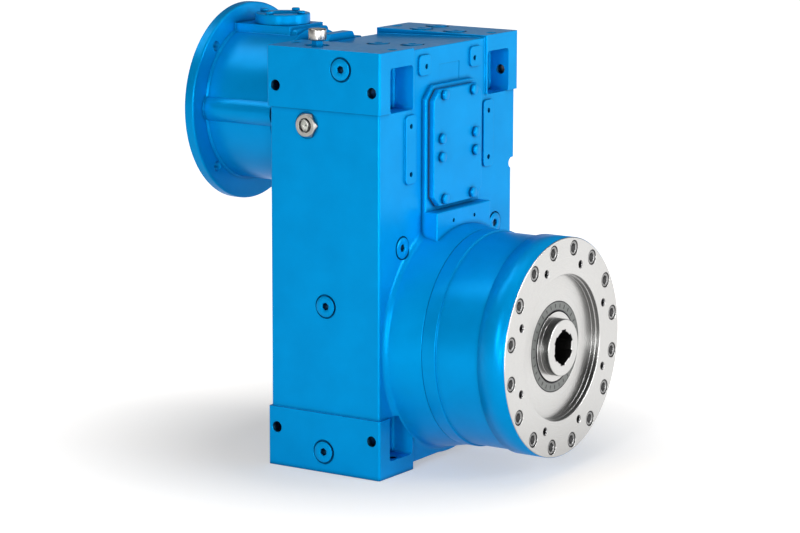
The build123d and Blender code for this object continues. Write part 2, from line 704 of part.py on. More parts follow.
with BuildPart() as rear_plate:
    add(plate_yz(
        mirrored([
            (PLATE_HALF_Y, PLATE_Z[0]),
            (PLATE_HALF_Y, PLATE_Z[1]),
            (PLATE_NECK_HALF_Y, PLATE_Z[1]),
            (PLATE_NECK_HALF_Y, PLATE_Z[2]),
            (PLATE_LUG_HALF_Y[0], PLATE_Z[2]),
            (PLATE_LUG_HALF_Y[1], PLATE_Z[3]),
        ]),
        PLATE_X[0],
        PLATE_X[1] - PLATE_X[0],
    ))
    fillet(rear_plate.edges().filter_by(Axis.X), 6)
    for size, start, height in ((OUT_REAR, OUT_REAR_X, Z_OUT), (MID, MID_X[0], Z_MID)):
        cylinder_x(PLATE_X[1] - 1, start + size[2], size[1] + 12, z=height)
        cylinder_x(start, start + size[2] + 1, size[1], z=height, mode=Mode.SUBTRACT)
    cylinder_x(PLATE_X[0] - 1, OUT_REAR_X + 1, SEAL_REAR_R, z=Z_OUT, mode=Mode.SUBTRACT)
    cylinder_x(PLATE_X[0] - 1, PLATE_X[1] + 1, 50, z=Z_IN, mode=Mode.SUBTRACT)
    with Locations(*[Location((PLATE_X[0] + 13, y, z), AGAINST_X) for y, z in PLATE_SCREWS]):
        Cylinder(6.6, 60, mode=Mode.SUBTRACT)
        Cylinder(9.6, 20, align=BASE, mode=Mode.SUBTRACT)
    for y, z in LANTERN_BOLTS:
        cylinder_x(PLATE_X[0] - 1, PLATE_X[1] + 1, 6 + FIT, y, z, Mode.SUBTRACT)

rear_plate_screws = placed(
    socket_screw(6, PLATE_X[1] - PLATE_X[0] - 13 + WALL - 1),
    *[Location((PLATE_X[0] + 13, y, z), AGAINST_X) for y, z in PLATE_SCREWS],
)

with BuildPart() as cover_gasket:
    add(plate_yz(COVER_OUTLINE, SEAT_X, GASKET))
    block((SEAT_X - 1, SEAT_X + 5), (-44, 44), (476, 530), mode=Mode.SUBTRACT)
    for y, z in COVER_BOLTS:
        for side in (-1, 1):
            cylinder_x(SEAT_X - 1, SEAT_X + 5, 5.5, side * y, z, Mode.SUBTRACT)

with BuildPart() as inspection_cover:
    add(plate_yz(COVER_OUTLINE, SEAT_X + GASKET, COVER_THICK))
    chamfer(inspection_cover.faces().sort_by(Axis.X)[-1].edges(), 1.2)
    for y, z in COVER_BOLTS:
        for side in (-1, 1):
            cylinder_x(SEAT_X, SEAT_X + GASKET + COVER_THICK + 1, 5.5, side * y, z, Mode.SUBTRACT)

cover_bolts = placed(
    hex_screw(5, COVER_THICK + GASKET + 12, 16, 6.5),
    *[
        Location((SEAT_X + GASKET + COVER_THICK, side * y, z), ALONG_X)
        for y, z in COVER_BOLTS
        for side in (-1, 1)
    ],
)

# Thrust housing: spigot in the case, seat of the thrust bearing and the visible barrel.
with BuildPart() as thrust_housing:
    add(turned([
        (THRUST_X[0] - 22, SEAL_REAR_R + 20),
        (THRUST_X[0] - 22, SPIGOT_R),
        (BOSS_END, SPIGOT_R),
        (BOSS_END, BOSS_R - 1),
        (BOSS_END + 1, BOSS_R),
        (BARREL_BAND_END - 1, BOSS_R),
        (BARREL_BAND_END, BARREL_R),
        (BARREL_END, BARREL_R),
        (BARREL_END, THRUST_R + FIT),
        (THRUST_X[0], THRUST_R + FIT),
        (THRUST_X[0], SEAL_REAR_R + 20),
    ], Z_OUT))
    with Locations(Location((BARREL_END, 0, Z_OUT), ALONG_X)):
        with PolarLocations(SCREW_PITCH_R, SCREW_COUNT, start_angle=180 / SCREW_COUNT):
            Cylinder(SCREW_R + 0.75, 2 * (BARREL_END - BOSS_END) + 10, mode=Mode.SUBTRACT)

with BuildPart() as extruder_flange:
    seat = OUT_FRONT_X + OUT_FRONT[2]
    add(turned([
        (OUT_FRONT_X, OUT_FRONT[1]),
        (OUT_FRONT_X, THRUST_R),
        (BARREL_END, THRUST_R),
        (BARREL_END, FLANGE_R - 1.5),
        (BARREL_END + 1.5, FLANGE_R),
        (FLANGE_X - 1, FLANGE_R),
        (FLANGE_X, FLANGE_R - 1),
        (FLANGE_X, RECESS_R + 1),
        (FLANGE_X - 1, RECESS_R),
        (FLANGE_X - RECESS_DEPTH / 2, RECESS_R),
        (FLANGE_X - RECESS_DEPTH / 2, RECESS_R - RECESS_STEP),
        (FLANGE_X - RECESS_DEPTH, RECESS_R - RECESS_STEP),
        (FLANGE_X - RECESS_DEPTH, SEAL_FRONT_R),
        (SEAL_FRONT_X, SEAL_FRONT_R),
        (SEAL_FRONT_X, SEAL_FRONT_R - 8),
        (seat, SEAL_FRONT_R - 8),
        (seat, OUT_FRONT[1]),
    ], Z_OUT))
    with Locations(Location((FLANGE_X, 0, Z_OUT), ALONG_X)):
        with PolarLocations(SCREW_PITCH_R, SCREW_COUNT, start_angle=180 / SCREW_COUNT):
            Cylinder(SCREW_R + 0.75, 200, mode=Mode.SUBTRACT)
            Cylinder(SCREW_R * 1.5 + 1.2, 2 * SCREW_HEAD_DEPTH, mode=Mode.SUBTRACT)
        with PolarLocations(TAP_PITCH_R, TAP_COUNT, start_angle=180 / TAP_COUNT):
            Cylinder(TAP_R, 2 * 32, mode=Mode.SUBTRACT)

with BuildPart() as flange_screws:
    with Locations(Location((FLANGE_X - SCREW_HEAD_DEPTH, 0, Z_OUT), ALONG_X)):
        with PolarLocations(SCREW_PITCH_R, SCREW_COUNT, start_angle=180 / SCREW_COUNT):
            add(socket_screw(SCREW_R, FLANGE_X - SCREW_HEAD_DEPTH - BOSS_END + 28))

with BuildPart() as output_seal:
    add(turned([
        (SEAL_FRONT_X, SHAFT_R + RUN_GAP),
        (SEAL_FRONT_X, SEAL_FRONT_R - FIT),
        (SEAL_FRONT_X + SEAL_THICK - 1, SEAL_FRONT_R - FIT),
        (SEAL_FRONT_X + SEAL_THICK, SEAL_FRONT_R - 1.5),
        (SEAL_FRONT_X + SEAL_THICK, SHAFT_R + 2),
        (SEAL_FRONT_X + SEAL_THICK - 4, SHAFT_R + RUN_GAP),
    ], Z_OUT))
    with Locations(Location((SEAL_FRONT_X + SEAL_THICK, 0, Z_OUT), ALONG_X)):
        with PolarLocations((SHAFT_R + SEAL_FRONT_R) / 2 + 1, 30):
            Box(7, 2.2, 1.6, mode=Mode.SUBTRACT)

with BuildPart() as rear_seal:
    add(turned([
        (PLATE_X[0] + 3, OUT_REAR[0] + RUN_GAP),
        (PLATE_X[0] + 3, SEAL_REAR_R - FIT),
        (PLATE_X[0] + 15, SEAL_REAR_R - FIT),
        (PLATE_X[0] + 15, OUT_REAR[0] + RUN_GAP),
    ], Z_OUT))

# Spherical roller thrust bearing: both washers, the rollers and the cage between them.
with BuildPart() as thrust_housing_washer:
    add(turned([
        (THRUST_X[0], 88),
        (THRUST_X[0], THRUST_R),
        (race_x(THRUST_R - 2.5, 1), THRUST_R),
        (race_x(THRUST_R - 2.5, 1), THRUST_R - 2.5),
        (race_x(88, 1), 88),
    ], Z_OUT))

with BuildPart() as thrust_shaft_washer:
    add(turned([
        (race_x(66, -1), SHAFT_R + FIT),
        (race_x(66, -1), 66),
        (race_x(100, -1), 100),
        (THRUST_X[1], 100),
        (THRUST_X[1], SHAFT_R + FIT),
    ], Z_OUT))

with BuildPart() as thrust_rollers:
    with Locations(along_x(ROLLER_AT[0], Z_OUT)):
        with PolarLocations(ROLLER_AT[1], ROLLER_COUNT):
            with Locations(Location((0, 0, 0), (0, 45, 0))):
                Cylinder(ROLLER_R, ROLLER_LENGTH)

with BuildPart() as thrust_cage:
    add(turned([
        (ROLLER_AT[0] + along - across, ROLLER_AT[1] + along + across)
        for along, across in ((-14.5, -1.6), (-14.5, 1.6), (14.5, 1.6), (14.5, -1.6))
    ], Z_OUT))
    with Locations(along_x(ROLLER_AT[0], Z_OUT)):
        with PolarLocations(ROLLER_AT[1], ROLLER_COUNT):
            with Locations(Location((0, 0, 0), (0, 45, 0))):
                Cylinder(ROLLER_R + 0.4, ROLLER_LENGTH + 0.8, mode=Mode.SUBTRACT)

# Output shaft: hollow, grooved at the flange end for the screw, with a thrust collar.
with BuildPart() as output_shaft:
    add(turned([
        (SHAFT_REAR_X, SCREW_BORE_R),
        (SHAFT_REAR_X, OUT_REAR[0]),
        (OUT_REAR_X + OUT_REAR[2], OUT_REAR[0]),
        (OUT_REAR_X + OUT_REAR[2], 49.5),
        (STAGE_A_X[0] - 8, 49.5),
        (STAGE_A_X[0] - 8, 48),
        (RING_X[0] - 5, 48),
        (RING_X[0] - 5, WHEEL_SEAT_R),
        (RING_X[0], WHEEL_SEAT_R),
        (RING_X[0], WHEEL_SEAT_R - 3),
        (RING_X[1], WHEEL_SEAT_R - 3),
        (RING_X[1], WHEEL_SEAT_R),
        (STAGE_B_X[1], WHEEL_SEAT_R),
        (STAGE_B_X[1], SHAFT_R),
        (THRUST_X[1], SHAFT_R),
        (THRUST_X[1], COLLAR_R),
        (OUT_FRONT_X, COLLAR_R),
        (OUT_FRONT_X, SHAFT_R),
        (NOSE_X - NOSE_LENGTH, SHAFT_R),
        (NOSE_X - NOSE_LENGTH, NOSE_R),
        (NOSE_X - 1, NOSE_R),
        (NOSE_X, NOSE_R - 1),
        (NOSE_X, SPLINE_R + 0.8),
        (NOSE_X - 0.8, SPLINE_R),
        (NOSE_X - SPLINE_LENGTH, SPLINE_R),
        (NOSE_X - SPLINE_LENGTH, SCREW_BORE_R),
    ], Z_OUT))
    with Locations(along_x(NOSE_X - SPLINE_LENGTH, Z_OUT)):
        with PolarLocations(SPLINE_ROOT_R, SPLINE_GROOVES, start_angle=SPLINE_PHASE):
            groove = 2 * (SPLINE_ROOT_R - SPLINE_R + 2)
            with Locations((-groove / 2, 0, 0)):
                Box(groove, SPLINE_WIDTH, SPLINE_LENGTH + 1, align=BASE, mode=Mode.SUBTRACT)
    add(key_slot(KEY_OUT, WHEEL_SEAT_R, Z_OUT, FIT), mode=Mode.SUBTRACT)

with BuildPart() as output_key:
    add(key_slot(KEY_OUT, WHEEL_SEAT_R, Z_OUT, 0))

with BuildPart() as output_retaining_ring:
    with Locations(along_x((RING_X[0] + RING_X[1]) / 2, Z_OUT)):
        Cylinder(WHEEL_SEAT_R + 5, RING_X[1] - RING_X[0] - 2 * FIT)
        Cylinder(WHEEL_SEAT_R - 3 + FIT, 10, mode=Mode.SUBTRACT)
        with Locations((-WHEEL_SEAT_R, 0, 0)):
            Box(20, 16, 10, mode=Mode.SUBTRACT)

output_wheel = gear_wheel(
    TEETH_B[1], MODULE_B, STAGE_B_X, -1, WHEEL_SEAT_R, 80, 128, 17, Z_OUT, KEY_OUT
)

# Second shaft: its pinion drives the output wheel, its wheel is driven by the first shaft.
with BuildPart() as second_shaft:
    add(turned([
        (MID_X[0], 0),
        (MID_X[0], MID[0]),
        (MID_X[0] + MID[2], MID[0]),
        (MID_X[0] + MID[2], 26),
        (STAGE_A_X[0], 26),
        (STAGE_A_X[0], MID_SEAT_R),
        (STAGE_A_X[1], MID_SEAT_R),
        (STAGE_A_X[1], 36),
        (STAGE_B_X[0] - PINION_OVERHANG, 36),
        (STAGE_B_X[1] + PINION_OVERHANG, 36),
        (STAGE_B_X[1] + PINION_OVERHANG, 32),
        (MID_X[1], 32),
        (MID_X[1], MID[0]),
        (MID_X[1] + MID[2], MID[0]),
        (MID_X[1] + MID[2], 0),
    ], Z_MID))
    with Locations(along_x(STAGE_B_X[0] - PINION_OVERHANG, Z_MID)):
        length = STAGE_B_X[1] - STAGE_B_X[0] + 2 * PINION_OVERHANG
        add(helical_gear(TEETH_B[0], MODULE_B, length, 1, 0))
    add(key_slot(KEY_MID, MID_SEAT_R, Z_MID, FIT), mode=Mode.SUBTRACT)

with BuildPart() as second_key:
    add(key_slot(KEY_MID, MID_SEAT_R, Z_MID, 0))

second_spacer = turned([
    (MID_X[0] + MID[2], 26 + FIT),
    (MID_X[0] + MID[2], 34),
    (STAGE_A_X[0], 34),
    (STAGE_A_X[0], 26 + FIT),
], Z_MID)

second_wheel = gear_wheel(
    TEETH_A[1], MODULE_A, STAGE_A_X, -1, MID_SEAT_R, 48, 120, 12, Z_MID, KEY_MID
)

# First shaft: pinion in the case, keyed bevel gear in the lantern.
with BuildPart() as first_shaft:
    add(turned([
        (X_CROSS + BEVEL_NEAR, PILOT_BORE_R),
        (X_CROSS + BEVEL_NEAR, FIRST_STUB_R),
        (FIRST_X[0], FIRST_STUB_R),
        (FIRST_X[0], FIRST[0]),
        (FIRST_X[0] + FIRST[2], FIRST[0]),
        (FIRST_X[0] + FIRST[2], 33),
        (FIRST_X[1], 33),
        (FIRST_X[1], FIRST[0]),
        (FIRST_X[1] + FIRST[2], FIRST[0]),
        (FIRST_X[1] + FIRST[2], 0),
        (-160, 0),
        (-160, PILOT_BORE_R),
    ], Z_IN))
    with Locations(along_x(STAGE_A_X[0] - PINION_OVERHANG, Z_IN)):
        length = STAGE_A_X[1] - STAGE_A_X[0] + 2 * PINION_OVERHANG
        add(helical_gear(TEETH_A[0], MODULE_A, length, 1, 0))
    add(key_slot(KEY_FIRST, FIRST_STUB_R, Z_IN, FIT), mode=Mode.SUBTRACT)

with BuildPart() as first_key:
    add(key_slot(KEY_FIRST, FIRST_STUB_R, Z_IN, 0))

with BuildPart() as first_bevel_gear:
    with Locations(along_x(X_CROSS, Z_IN)):
        add(bevel_gear(pi / BEVEL_TEETH))
    cylinder_x(X_CROSS + BEVEL_FAR, FIRST_X[0], 36, z=Z_IN)
    cylinder_x(X_CROSS, FIRST_X[0] + 1, FIRST_STUB_R + FIT, z=Z_IN, mode=Mode.SUBTRACT)
    open_key = (KEY_FIRST[0] - 10, KEY_FIRST[1] + 10) + KEY_FIRST[2:]
    add(key_slot(open_key, FIRST_STUB_R, Z_IN, FIT), mode=Mode.SUBTRACT)

pilot_bush = turned([
    (-195, PILOT_R + FIT),
    (-195, PILOT_BORE_R - FIT),
    (-168, PILOT_BORE_R - FIT),
    (-168, PILOT_R + FIT),
], Z_IN)

# Input quill: takes the motor shaft, carries the first bevel gear and a pilot journal.
with BuildPart() as input_quill:
    add(turned([
        (INPUT_X - 3, 0),
        (INPUT_X - 3, INPUT[0]),
        (X_CROSS - BEVEL_FAR, INPUT[0]),
        (X_CROSS - BEVEL_FAR, QUILL_R),
        (X_CROSS + 30, QUILL_R),
        (X_CROSS + 30, PILOT_R),
        (-169, PILOT_R),
        (-169, 0),
    ], Z_IN))
    with Locations(Location((X_CROSS, 0, Z_IN), AGAINST_X)):
        add(bevel_gear(pi / BEVEL_TEETH))
    cylinder_x(INPUT_X - 4, X_CROSS + 24, MOTOR_SHAFT_R, z=Z_IN, mode=Mode.SUBTRACT)
    block((INPUT_X - 4, X_CROSS + 24), (-6, 6), (Z_IN, Z_IN + MOTOR_SHAFT_R + 3.3),
          mode=Mode.SUBTRACT)

# Upright cross shaft with the bevel gear that turns the drive back into line.
with BuildPart() as cross_shaft:
    with Locations((X_CROSS, 0, Z_IN)):
        add(bevel_gear(0))
    cylinder_z(Z_IN + BEVEL_FAR, CROSS_Z[0] - 9, 34, X_CROSS)
    cylinder_z(Z_IN + BEVEL_FAR, CROSS_Z[0], CROSS[0] + 4.5, X_CROSS)
    cylinder_z(Z_IN + BEVEL_FAR, CROSS_Z[1] + CROSS[2] + 1, CROSS[0], X_CROSS)

# Input lantern: motor flange, bell around the bevel set and the pad under the round cap.
with BuildPart() as input_lantern:
    add(turned([
        (MOTOR_X, 0),
        (MOTOR_X, MOTOR_R - 1),
        (MOTOR_X + 1, MOTOR_R),
        (MOTOR_X + MOTOR_THICK - 2, MOTOR_R),
        (MOTOR_X + MOTOR_THICK, MOTOR_R - 2),
        (MOTOR_X + MOTOR_THICK, BELL_R + 3),
        (MOTOR_X + MOTOR_THICK + 3, BELL_R),
        (BELL_END, BELL_R),
        (BELL_END, NECK_R),
        (JOINT_X[0], NECK_R),
        (JOINT_X[0], JOINT_R),
        (JOINT_X[1], JOINT_R),
        (JOINT_X[1], 0),
    ], Z_IN))
    block((MOTOR_X + MOTOR_THICK - 1, PAD_END), (-PAD_HALF_Y, PAD_HALF_Y), (Z_IN, PAD_TOP))
    with BuildPart(mode=Mode.PRIVATE) as ear:
        block((PAD_END - 1, EAR_END), (-EAR_HALF_Y, EAR_HALF_Y), (Z_IN, EAR_TOP))
        fillet(ear.edges().filter_by(Axis.X).group_by(Axis.Z)[-1], 8)
    add(ear.part)
    for side in (-1, 1):
        cylinder_x(MOTOR_X + MOTOR_THICK, -161, 25, side * 122, Z_IN)
        cylinder_x(-182, JOINT_X[0], 14, side * LANTERN_BOLT_R, Z_IN, Mode.SUBTRACT)
    add(turned([
        (MOTOR_X - 1, 0),
        (MOTOR_X - 1, MOTOR_SPIGOT_R),
        (MOTOR_X + MOTOR_SPIGOT_DEPTH, MOTOR_SPIGOT_R),
        (MOTOR_X + MOTOR_SPIGOT_DEPTH, CARRIER_R),
        (CARRIER_X, CARRIER_R),
        (CARRIER_X, CARRIER_R - 18),
        (CARRIER_X + 12, CARRIER_R - 18),
        (CARRIER_X + 12, CARRIER_R),
        (-180, CARRIER_R),
        (-180, CARRIER_R - 18),
        (FIRST_X[0] - 11, CARRIER_R - 18),
        (FIRST_X[0] - 11, FIRST[1] - 5),
        (FIRST_X[0], FIRST[1] - 5),
        (FIRST_X[0], FIRST[1]),
        (JOINT_X[1] + 1, FIRST[1]),
        (JOINT_X[1] + 1, 0),
    ], Z_IN), mode=Mode.SUBTRACT)
    # The joint is cut level with the bell's neck on top.
    block((JOINT_X[0] - 1, JOINT_X[1] + 1), (-JOINT_R, JOINT_R), (Z_IN + NECK_R, Z_IN + JOINT_R + 1),
          mode=Mode.SUBTRACT)
    cylinder_z(CROSS_Z[0] - 8, PAD_TOP - 20, CROSS[1] + 12, X_CROSS)
    cylinder_z(CROSS_Z[0], PAD_TOP + 1, CROSS[1], X_CROSS, mode=Mode.SUBTRACT)
    cylinder_z(CROSS_Z[0] - 9, CROSS_Z[0] + 1, CROSS[1] - 5, X_CROSS, mode=Mode.SUBTRACT)
    with Locations(Location((MOTOR_X, 0, Z_IN), ALONG_X)):
        with PolarLocations(MOTOR_PITCH_R, 4, start_angle=45):
            Cylinder(MOTOR_HOLE_R, 4 * MOTOR_THICK, mode=Mode.SUBTRACT)
    with Locations(Location((CARRIER_X, 0, Z_IN), ALONG_X)):
        with PolarLocations(CARRIER_R - 9, 6):
            Cylinder(4 + FIT, 26, mode=Mode.SUBTRACT)
    for y, z in LANTERN_BOLTS:
        cylinder_x(JOINT_X[0] - 1, JOINT_X[1] + 1, 6.6, y, z, Mode.SUBTRACT)
    with Locations((X_CROSS, 0, PAD_TOP)):
        with PolarLocations(CAP_BOLT_R, 4):
            Cylinder(4 + FIT, 40, mode=Mode.SUBTRACT)

lantern_bolts = placed(
    hex_screw(6, PLATE_X[1] - JOINT_X[0] - 1, 18, 7.5),
    *[Location((JOINT_X[0], y, z), AGAINST_X) for y, z in LANTERN_BOLTS],
)

with BuildPart() as bearing_carrier:
    add(turned([
        (INPUT_X - 3, INPUT[1] - 5.5),
        (INPUT_X - 3, CARRIER_R - FIT),
        (CARRIER_X, CARRIER_R - FIT),
        (CARRIER_X, INPUT[1] + CARRIER_HUB_WALL),
        (INPUT_X + INPUT[2], INPUT[1] + CARRIER_HUB_WALL),
        (INPUT_X + INPUT[2], INPUT[1]),
        (INPUT_X, INPUT[1]),
        (INPUT_X, INPUT[1] - 5.5),
    ], Z_IN))
    with Locations(Location((INPUT_X - 3, 0, Z_IN), AGAINST_X)):
        with PolarLocations(CARRIER_R - 9, 6):
            Cylinder(4.5, 40, mode=Mode.SUBTRACT)
            Cone(4.5, 8.5, 4, align=TOP, mode=Mode.SUBTRACT)

with BuildPart() as carrier_screws:
    with Locations(Location((INPUT_X - 3, 0, Z_IN), AGAINST_X)):
        with PolarLocations(CARRIER_R - 9, 6):
            with Locations((0, 0, -0.2)):
                add(countersunk_screw(4, 19))

with BuildPart() as cross_bearing_cap:
    with Locations((X_CROSS, 0, PAD_TOP)):
        add(turned_z([
            (0, 0),
            (CROSS[1] - 7, 0),
            (CROSS[1] - 7, CROSS_Z[1] + CROSS[2] - PAD_TOP),
            (CROSS[1] - FIT, CROSS_Z[1] + CROSS[2] - PAD_TOP),
            (CROSS[1] - FIT, 0),
            (CAP_R, 0),
            (CAP_R, CAP_THICK - 1.5),
            (CAP_R - 1.5, CAP_THICK),
            (CAP_RIM_R, CAP_THICK),
            (CAP_RIM_R - 2, CAP_THICK - 5),
            (0, CAP_THICK - 5),
        ]))
        with PolarLocations(CAP_BOLT_R, 4):
            Cylinder(4.5, 60, mode=Mode.SUBTRACT)

with BuildPart() as cap_bolts:
    with Locations((X_CROSS, 0, PAD_TOP + CAP_THICK)):
        with PolarLocations(CAP_BOLT_R, 4):
            add(hex_screw(4, CAP_THICK + 16, 13, 5.3))

# Plugs, breather and sight glass.
oil_plugs = placed(
    screw_plug(PLUG_R, PLUG_THREAD_R, 16),
    *[seat * Location((0, 0, 1.5)) for seat in PLUG_SEATS],
)

with BuildPart() as plug_washers:
    with Locations(*PLUG_SEATS):
        Cylinder(PLUG_R - 0.5, 1.5, align=BASE)
        Cylinder(PLUG_THREAD_R + 0.4, 6, mode=Mode.SUBTRACT)

with BuildPart() as breather_neck:
    with BuildSketch(Plane(BREATHER_SEAT)):
        RegularPolygon(BREATHER_HEX_R, 6, major_radius=False)
    extrude(amount=BREATHER_NECK)
    with Locations(BREATHER_SEAT):
        Cylinder(BREATHER_THREAD_R, 16, align=TOP)
        Cylinder(BREATHER_STUD_R, BREATHER_NECK + 3, align=BASE)
        Cylinder(3, 60, mode=Mode.SUBTRACT)

with BuildPart() as breather_cap:
    with Locations(BREATHER_SEAT * Location((0, 0, BREATHER_NECK))):
        Cylinder(BREATHER_CAP_R, BREATHER_CAP_HEIGHT, align=BASE)
        with PolarLocations(BREATHER_CAP_R + 0.4, 24):
            Cylinder(1.1, 60, mode=Mode.SUBTRACT)
        Cylinder(BREATHER_STUD_R + 2 * FIT, 2 * 3.1, mode=Mode.SUBTRACT)
    chamfer(breather_cap.faces().sort_by(Axis.Z)[-1].outer_wire().edges(), 0.3)

with BuildPart() as sight_glass_body:
    with BuildSketch(Plane(SIGHT_GLASS_SEAT)):
        RegularPolygon(SIGHT_HEX_R, 6, major_radius=False)
    extrude(amount=SIGHT_HEIGHT)
    # The corners are turned off towards the outer face.
    with Locations(SIGHT_GLASS_SEAT):
        Cone(SIGHT_HEX_R + 4, SIGHT_HEX_R - 1, SIGHT_HEIGHT, align=BASE, mode=Mode.INTERSECT)
        Cylinder(14, 14, align=TOP)
        with Locations((0, 0, 2)):
            Cylinder(12.5, 10, align=BASE, mode=Mode.SUBTRACT)
        Cylinder(10, 60, mode=Mode.SUBTRACT)

with BuildPart() as sight_glass_lens:
    with Locations(SIGHT_GLASS_SEAT * Location((0, 0, 2))):
        Cylinder(12.4, 2.5, align=BASE)
        Cylinder(1.6, 3.2, align=BASE)

output_rear_rings = bearing(OUT_REAR)
output_front_rings = bearing(OUT_FRONT)
mid_rings = bearing(MID)
first_rings = bearing(FIRST)
input_rings = bearing(INPUT)
cross_rings = bearing(CROSS)
mid_places = [along_x(x, Z_MID) for x in MID_X]
first_places = [along_x(x, Z_IN) for x in FIRST_X]
cross_places = [Location((X_CROSS, 0, z)) for z in CROSS_Z]

pieces = {
    "gear_case": gear_case.part,
    "rear_plate": rear_plate.part,
    "rear_plate_screws": rear_plate_screws,
    "cover_gasket": cover_gasket.part,
    "inspection_cover": inspection_cover.part,
    "cover_bolts": cover_bolts,
    "thrust_housing": thrust_housing.part,
    "extruder_flange": extruder_flange.part,
    "flange_screws": flange_screws.part,
    "output_seal": output_seal.part,
    "rear_seal": rear_seal.part,
    "thrust_housing_washer": thrust_housing_washer.part,
    "thrust_shaft_washer": thrust_shaft_washer.part,
    "thrust_rollers": thrust_rollers.part,
    "thrust_cage": thrust_cage.part,
    "output_shaft": output_shaft.part,
    "output_wheel": output_wheel,
    "output_key": output_key.part,
    "output_retaining_ring": output_retaining_ring.part,
    "output_rear_outer_ring": placed(output_rear_rings[0], along_x(OUT_REAR_X, Z_OUT)),
    "output_rear_inner_ring": placed(output_rear_rings[1], along_x(OUT_REAR_X, Z_OUT)),
    "output_rear_balls": placed(output_rear_rings[2], along_x(OUT_REAR_X, Z_OUT)),
    "output_front_outer_ring": placed(output_front_rings[0], along_x(OUT_FRONT_X, Z_OUT)),
    "output_front_inner_ring": placed(output_front_rings[1], along_x(OUT_FRONT_X, Z_OUT)),
    "output_front_balls": placed(output_front_rings[2], along_x(OUT_FRONT_X, Z_OUT)),
    "second_shaft": second_shaft.part,
    "second_wheel": second_wheel,
    "second_key": second_key.part,
    "second_spacer": second_spacer,
    "second_outer_rings": placed(mid_rings[0], *mid_places),
    "second_inner_rings": placed(mid_rings[1], *mid_places),
    "second_balls": placed(mid_rings[2], *mid_places),
    "first_shaft": first_shaft.part,
    "first_bevel_gear": first_bevel_gear.part,
    "first_key": first_key.part,
    "pilot_bush": pilot_bush,
    "first_outer_rings": placed(first_rings[0], *first_places),
    "first_inner_rings": placed(first_rings[1], *first_places),
    "first_balls": placed(first_rings[2], *first_places),
    "input_quill": input_quill.part,
    "input_outer_ring": placed(input_rings[0], along_x(INPUT_X, Z_IN)),
    "input_inner_ring": placed(input_rings[1], along_x(INPUT_X, Z_IN)),
    "input_balls": placed(input_rings[2], along_x(INPUT_X, Z_IN)),
    "cross_shaft": cross_shaft.part,
    "cross_outer_rings": placed(cross_rings[0], *cross_places),
    "cross_inner_rings": placed(cross_rings[1], *cross_places),
    "cross_balls": placed(cross_rings[2], *cross_places),
    "input_lantern": input_lantern.part,
    "lantern_bolts": lantern_bolts,
    "bearing_carrier": bearing_carrier.part,
    "carrier_screws": carrier_screws.part,
    "cross_bearing_cap": cross_bearing_cap.part,
    "cap_bolts": cap_bolts.part,
    "oil_plugs": oil_plugs,
    "plug_washers": plug_washers.part,
    "breather_neck": breather_neck.part,
    "breather_cap": breather_cap.part,
    "sight_glass_body": sight_glass_body.part,
    "sight_glass_lens": sight_glass_lens.part,
}
for name, piece in pieces.items():
    piece.label = name
    export_step(piece, f"parts/{name}.step")
    print(name, len(piece.solids()), round(piece.volume / 1000))
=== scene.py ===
"""Studio view of the upright extruder gear unit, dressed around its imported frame."""

import json
from collections import namedtuple
from math import cos, pi, radians, sin, tan

import bmesh
import bpy
from mathutils import Matrix, Vector
from mathutils.geometry import intersect_line_line_2d
from mathutils.kdtree import KDTree

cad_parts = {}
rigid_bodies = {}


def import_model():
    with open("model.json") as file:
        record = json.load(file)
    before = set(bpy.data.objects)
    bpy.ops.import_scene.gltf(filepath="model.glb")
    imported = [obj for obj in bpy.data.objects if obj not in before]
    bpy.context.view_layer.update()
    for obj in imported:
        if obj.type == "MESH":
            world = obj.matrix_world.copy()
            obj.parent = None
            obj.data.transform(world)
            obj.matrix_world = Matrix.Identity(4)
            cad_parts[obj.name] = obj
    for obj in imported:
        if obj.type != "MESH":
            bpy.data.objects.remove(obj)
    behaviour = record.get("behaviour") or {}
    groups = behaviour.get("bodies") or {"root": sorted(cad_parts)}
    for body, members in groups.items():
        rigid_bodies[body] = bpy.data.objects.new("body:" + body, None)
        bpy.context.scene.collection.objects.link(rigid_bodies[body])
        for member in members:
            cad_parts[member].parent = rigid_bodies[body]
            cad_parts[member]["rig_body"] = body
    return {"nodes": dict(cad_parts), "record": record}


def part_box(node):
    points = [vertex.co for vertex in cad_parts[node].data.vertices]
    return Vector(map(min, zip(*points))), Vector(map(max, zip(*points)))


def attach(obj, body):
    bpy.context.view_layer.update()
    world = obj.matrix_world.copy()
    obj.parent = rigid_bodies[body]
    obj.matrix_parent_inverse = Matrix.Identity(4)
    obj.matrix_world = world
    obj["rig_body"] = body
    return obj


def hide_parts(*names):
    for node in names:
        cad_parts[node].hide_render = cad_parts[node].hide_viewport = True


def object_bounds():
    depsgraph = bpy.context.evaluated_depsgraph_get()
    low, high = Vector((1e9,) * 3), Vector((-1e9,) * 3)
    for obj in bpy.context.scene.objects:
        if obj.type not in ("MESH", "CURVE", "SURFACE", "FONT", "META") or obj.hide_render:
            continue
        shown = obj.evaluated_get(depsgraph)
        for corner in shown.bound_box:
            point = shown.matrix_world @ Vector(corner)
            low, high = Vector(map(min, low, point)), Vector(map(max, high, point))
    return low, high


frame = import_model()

CAD_LOW, CAD_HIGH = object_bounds()
NODES = frame["nodes"]
RECORD = frame["record"]
HOUSING = "housing"
MM = 0.001

# Axes and stations of the turned pieces, read from the frame
FLANGE_LOW, FLANGE_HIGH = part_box("extruder_flange")
OUTPUT_CENTRE = (FLANGE_LOW + FLANGE_HIGH) / 2
INPUT_CENTRE = sum(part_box("bearing_carrier"), Vector()) / 2
BARREL_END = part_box("thrust_housing")[1].x
CASE_CENTRE = sum(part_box("gear_case"), Vector()) / 2
ALONG_X = Vector((1, 0, 0))
AGAINST_X = Vector((-1, 0, 0))
ALONG_Y = Vector((0, 1, 0))
ALONG_Z = Vector((0, 0, 1))
AGAINST_Y = Vector((0, -1, 0))

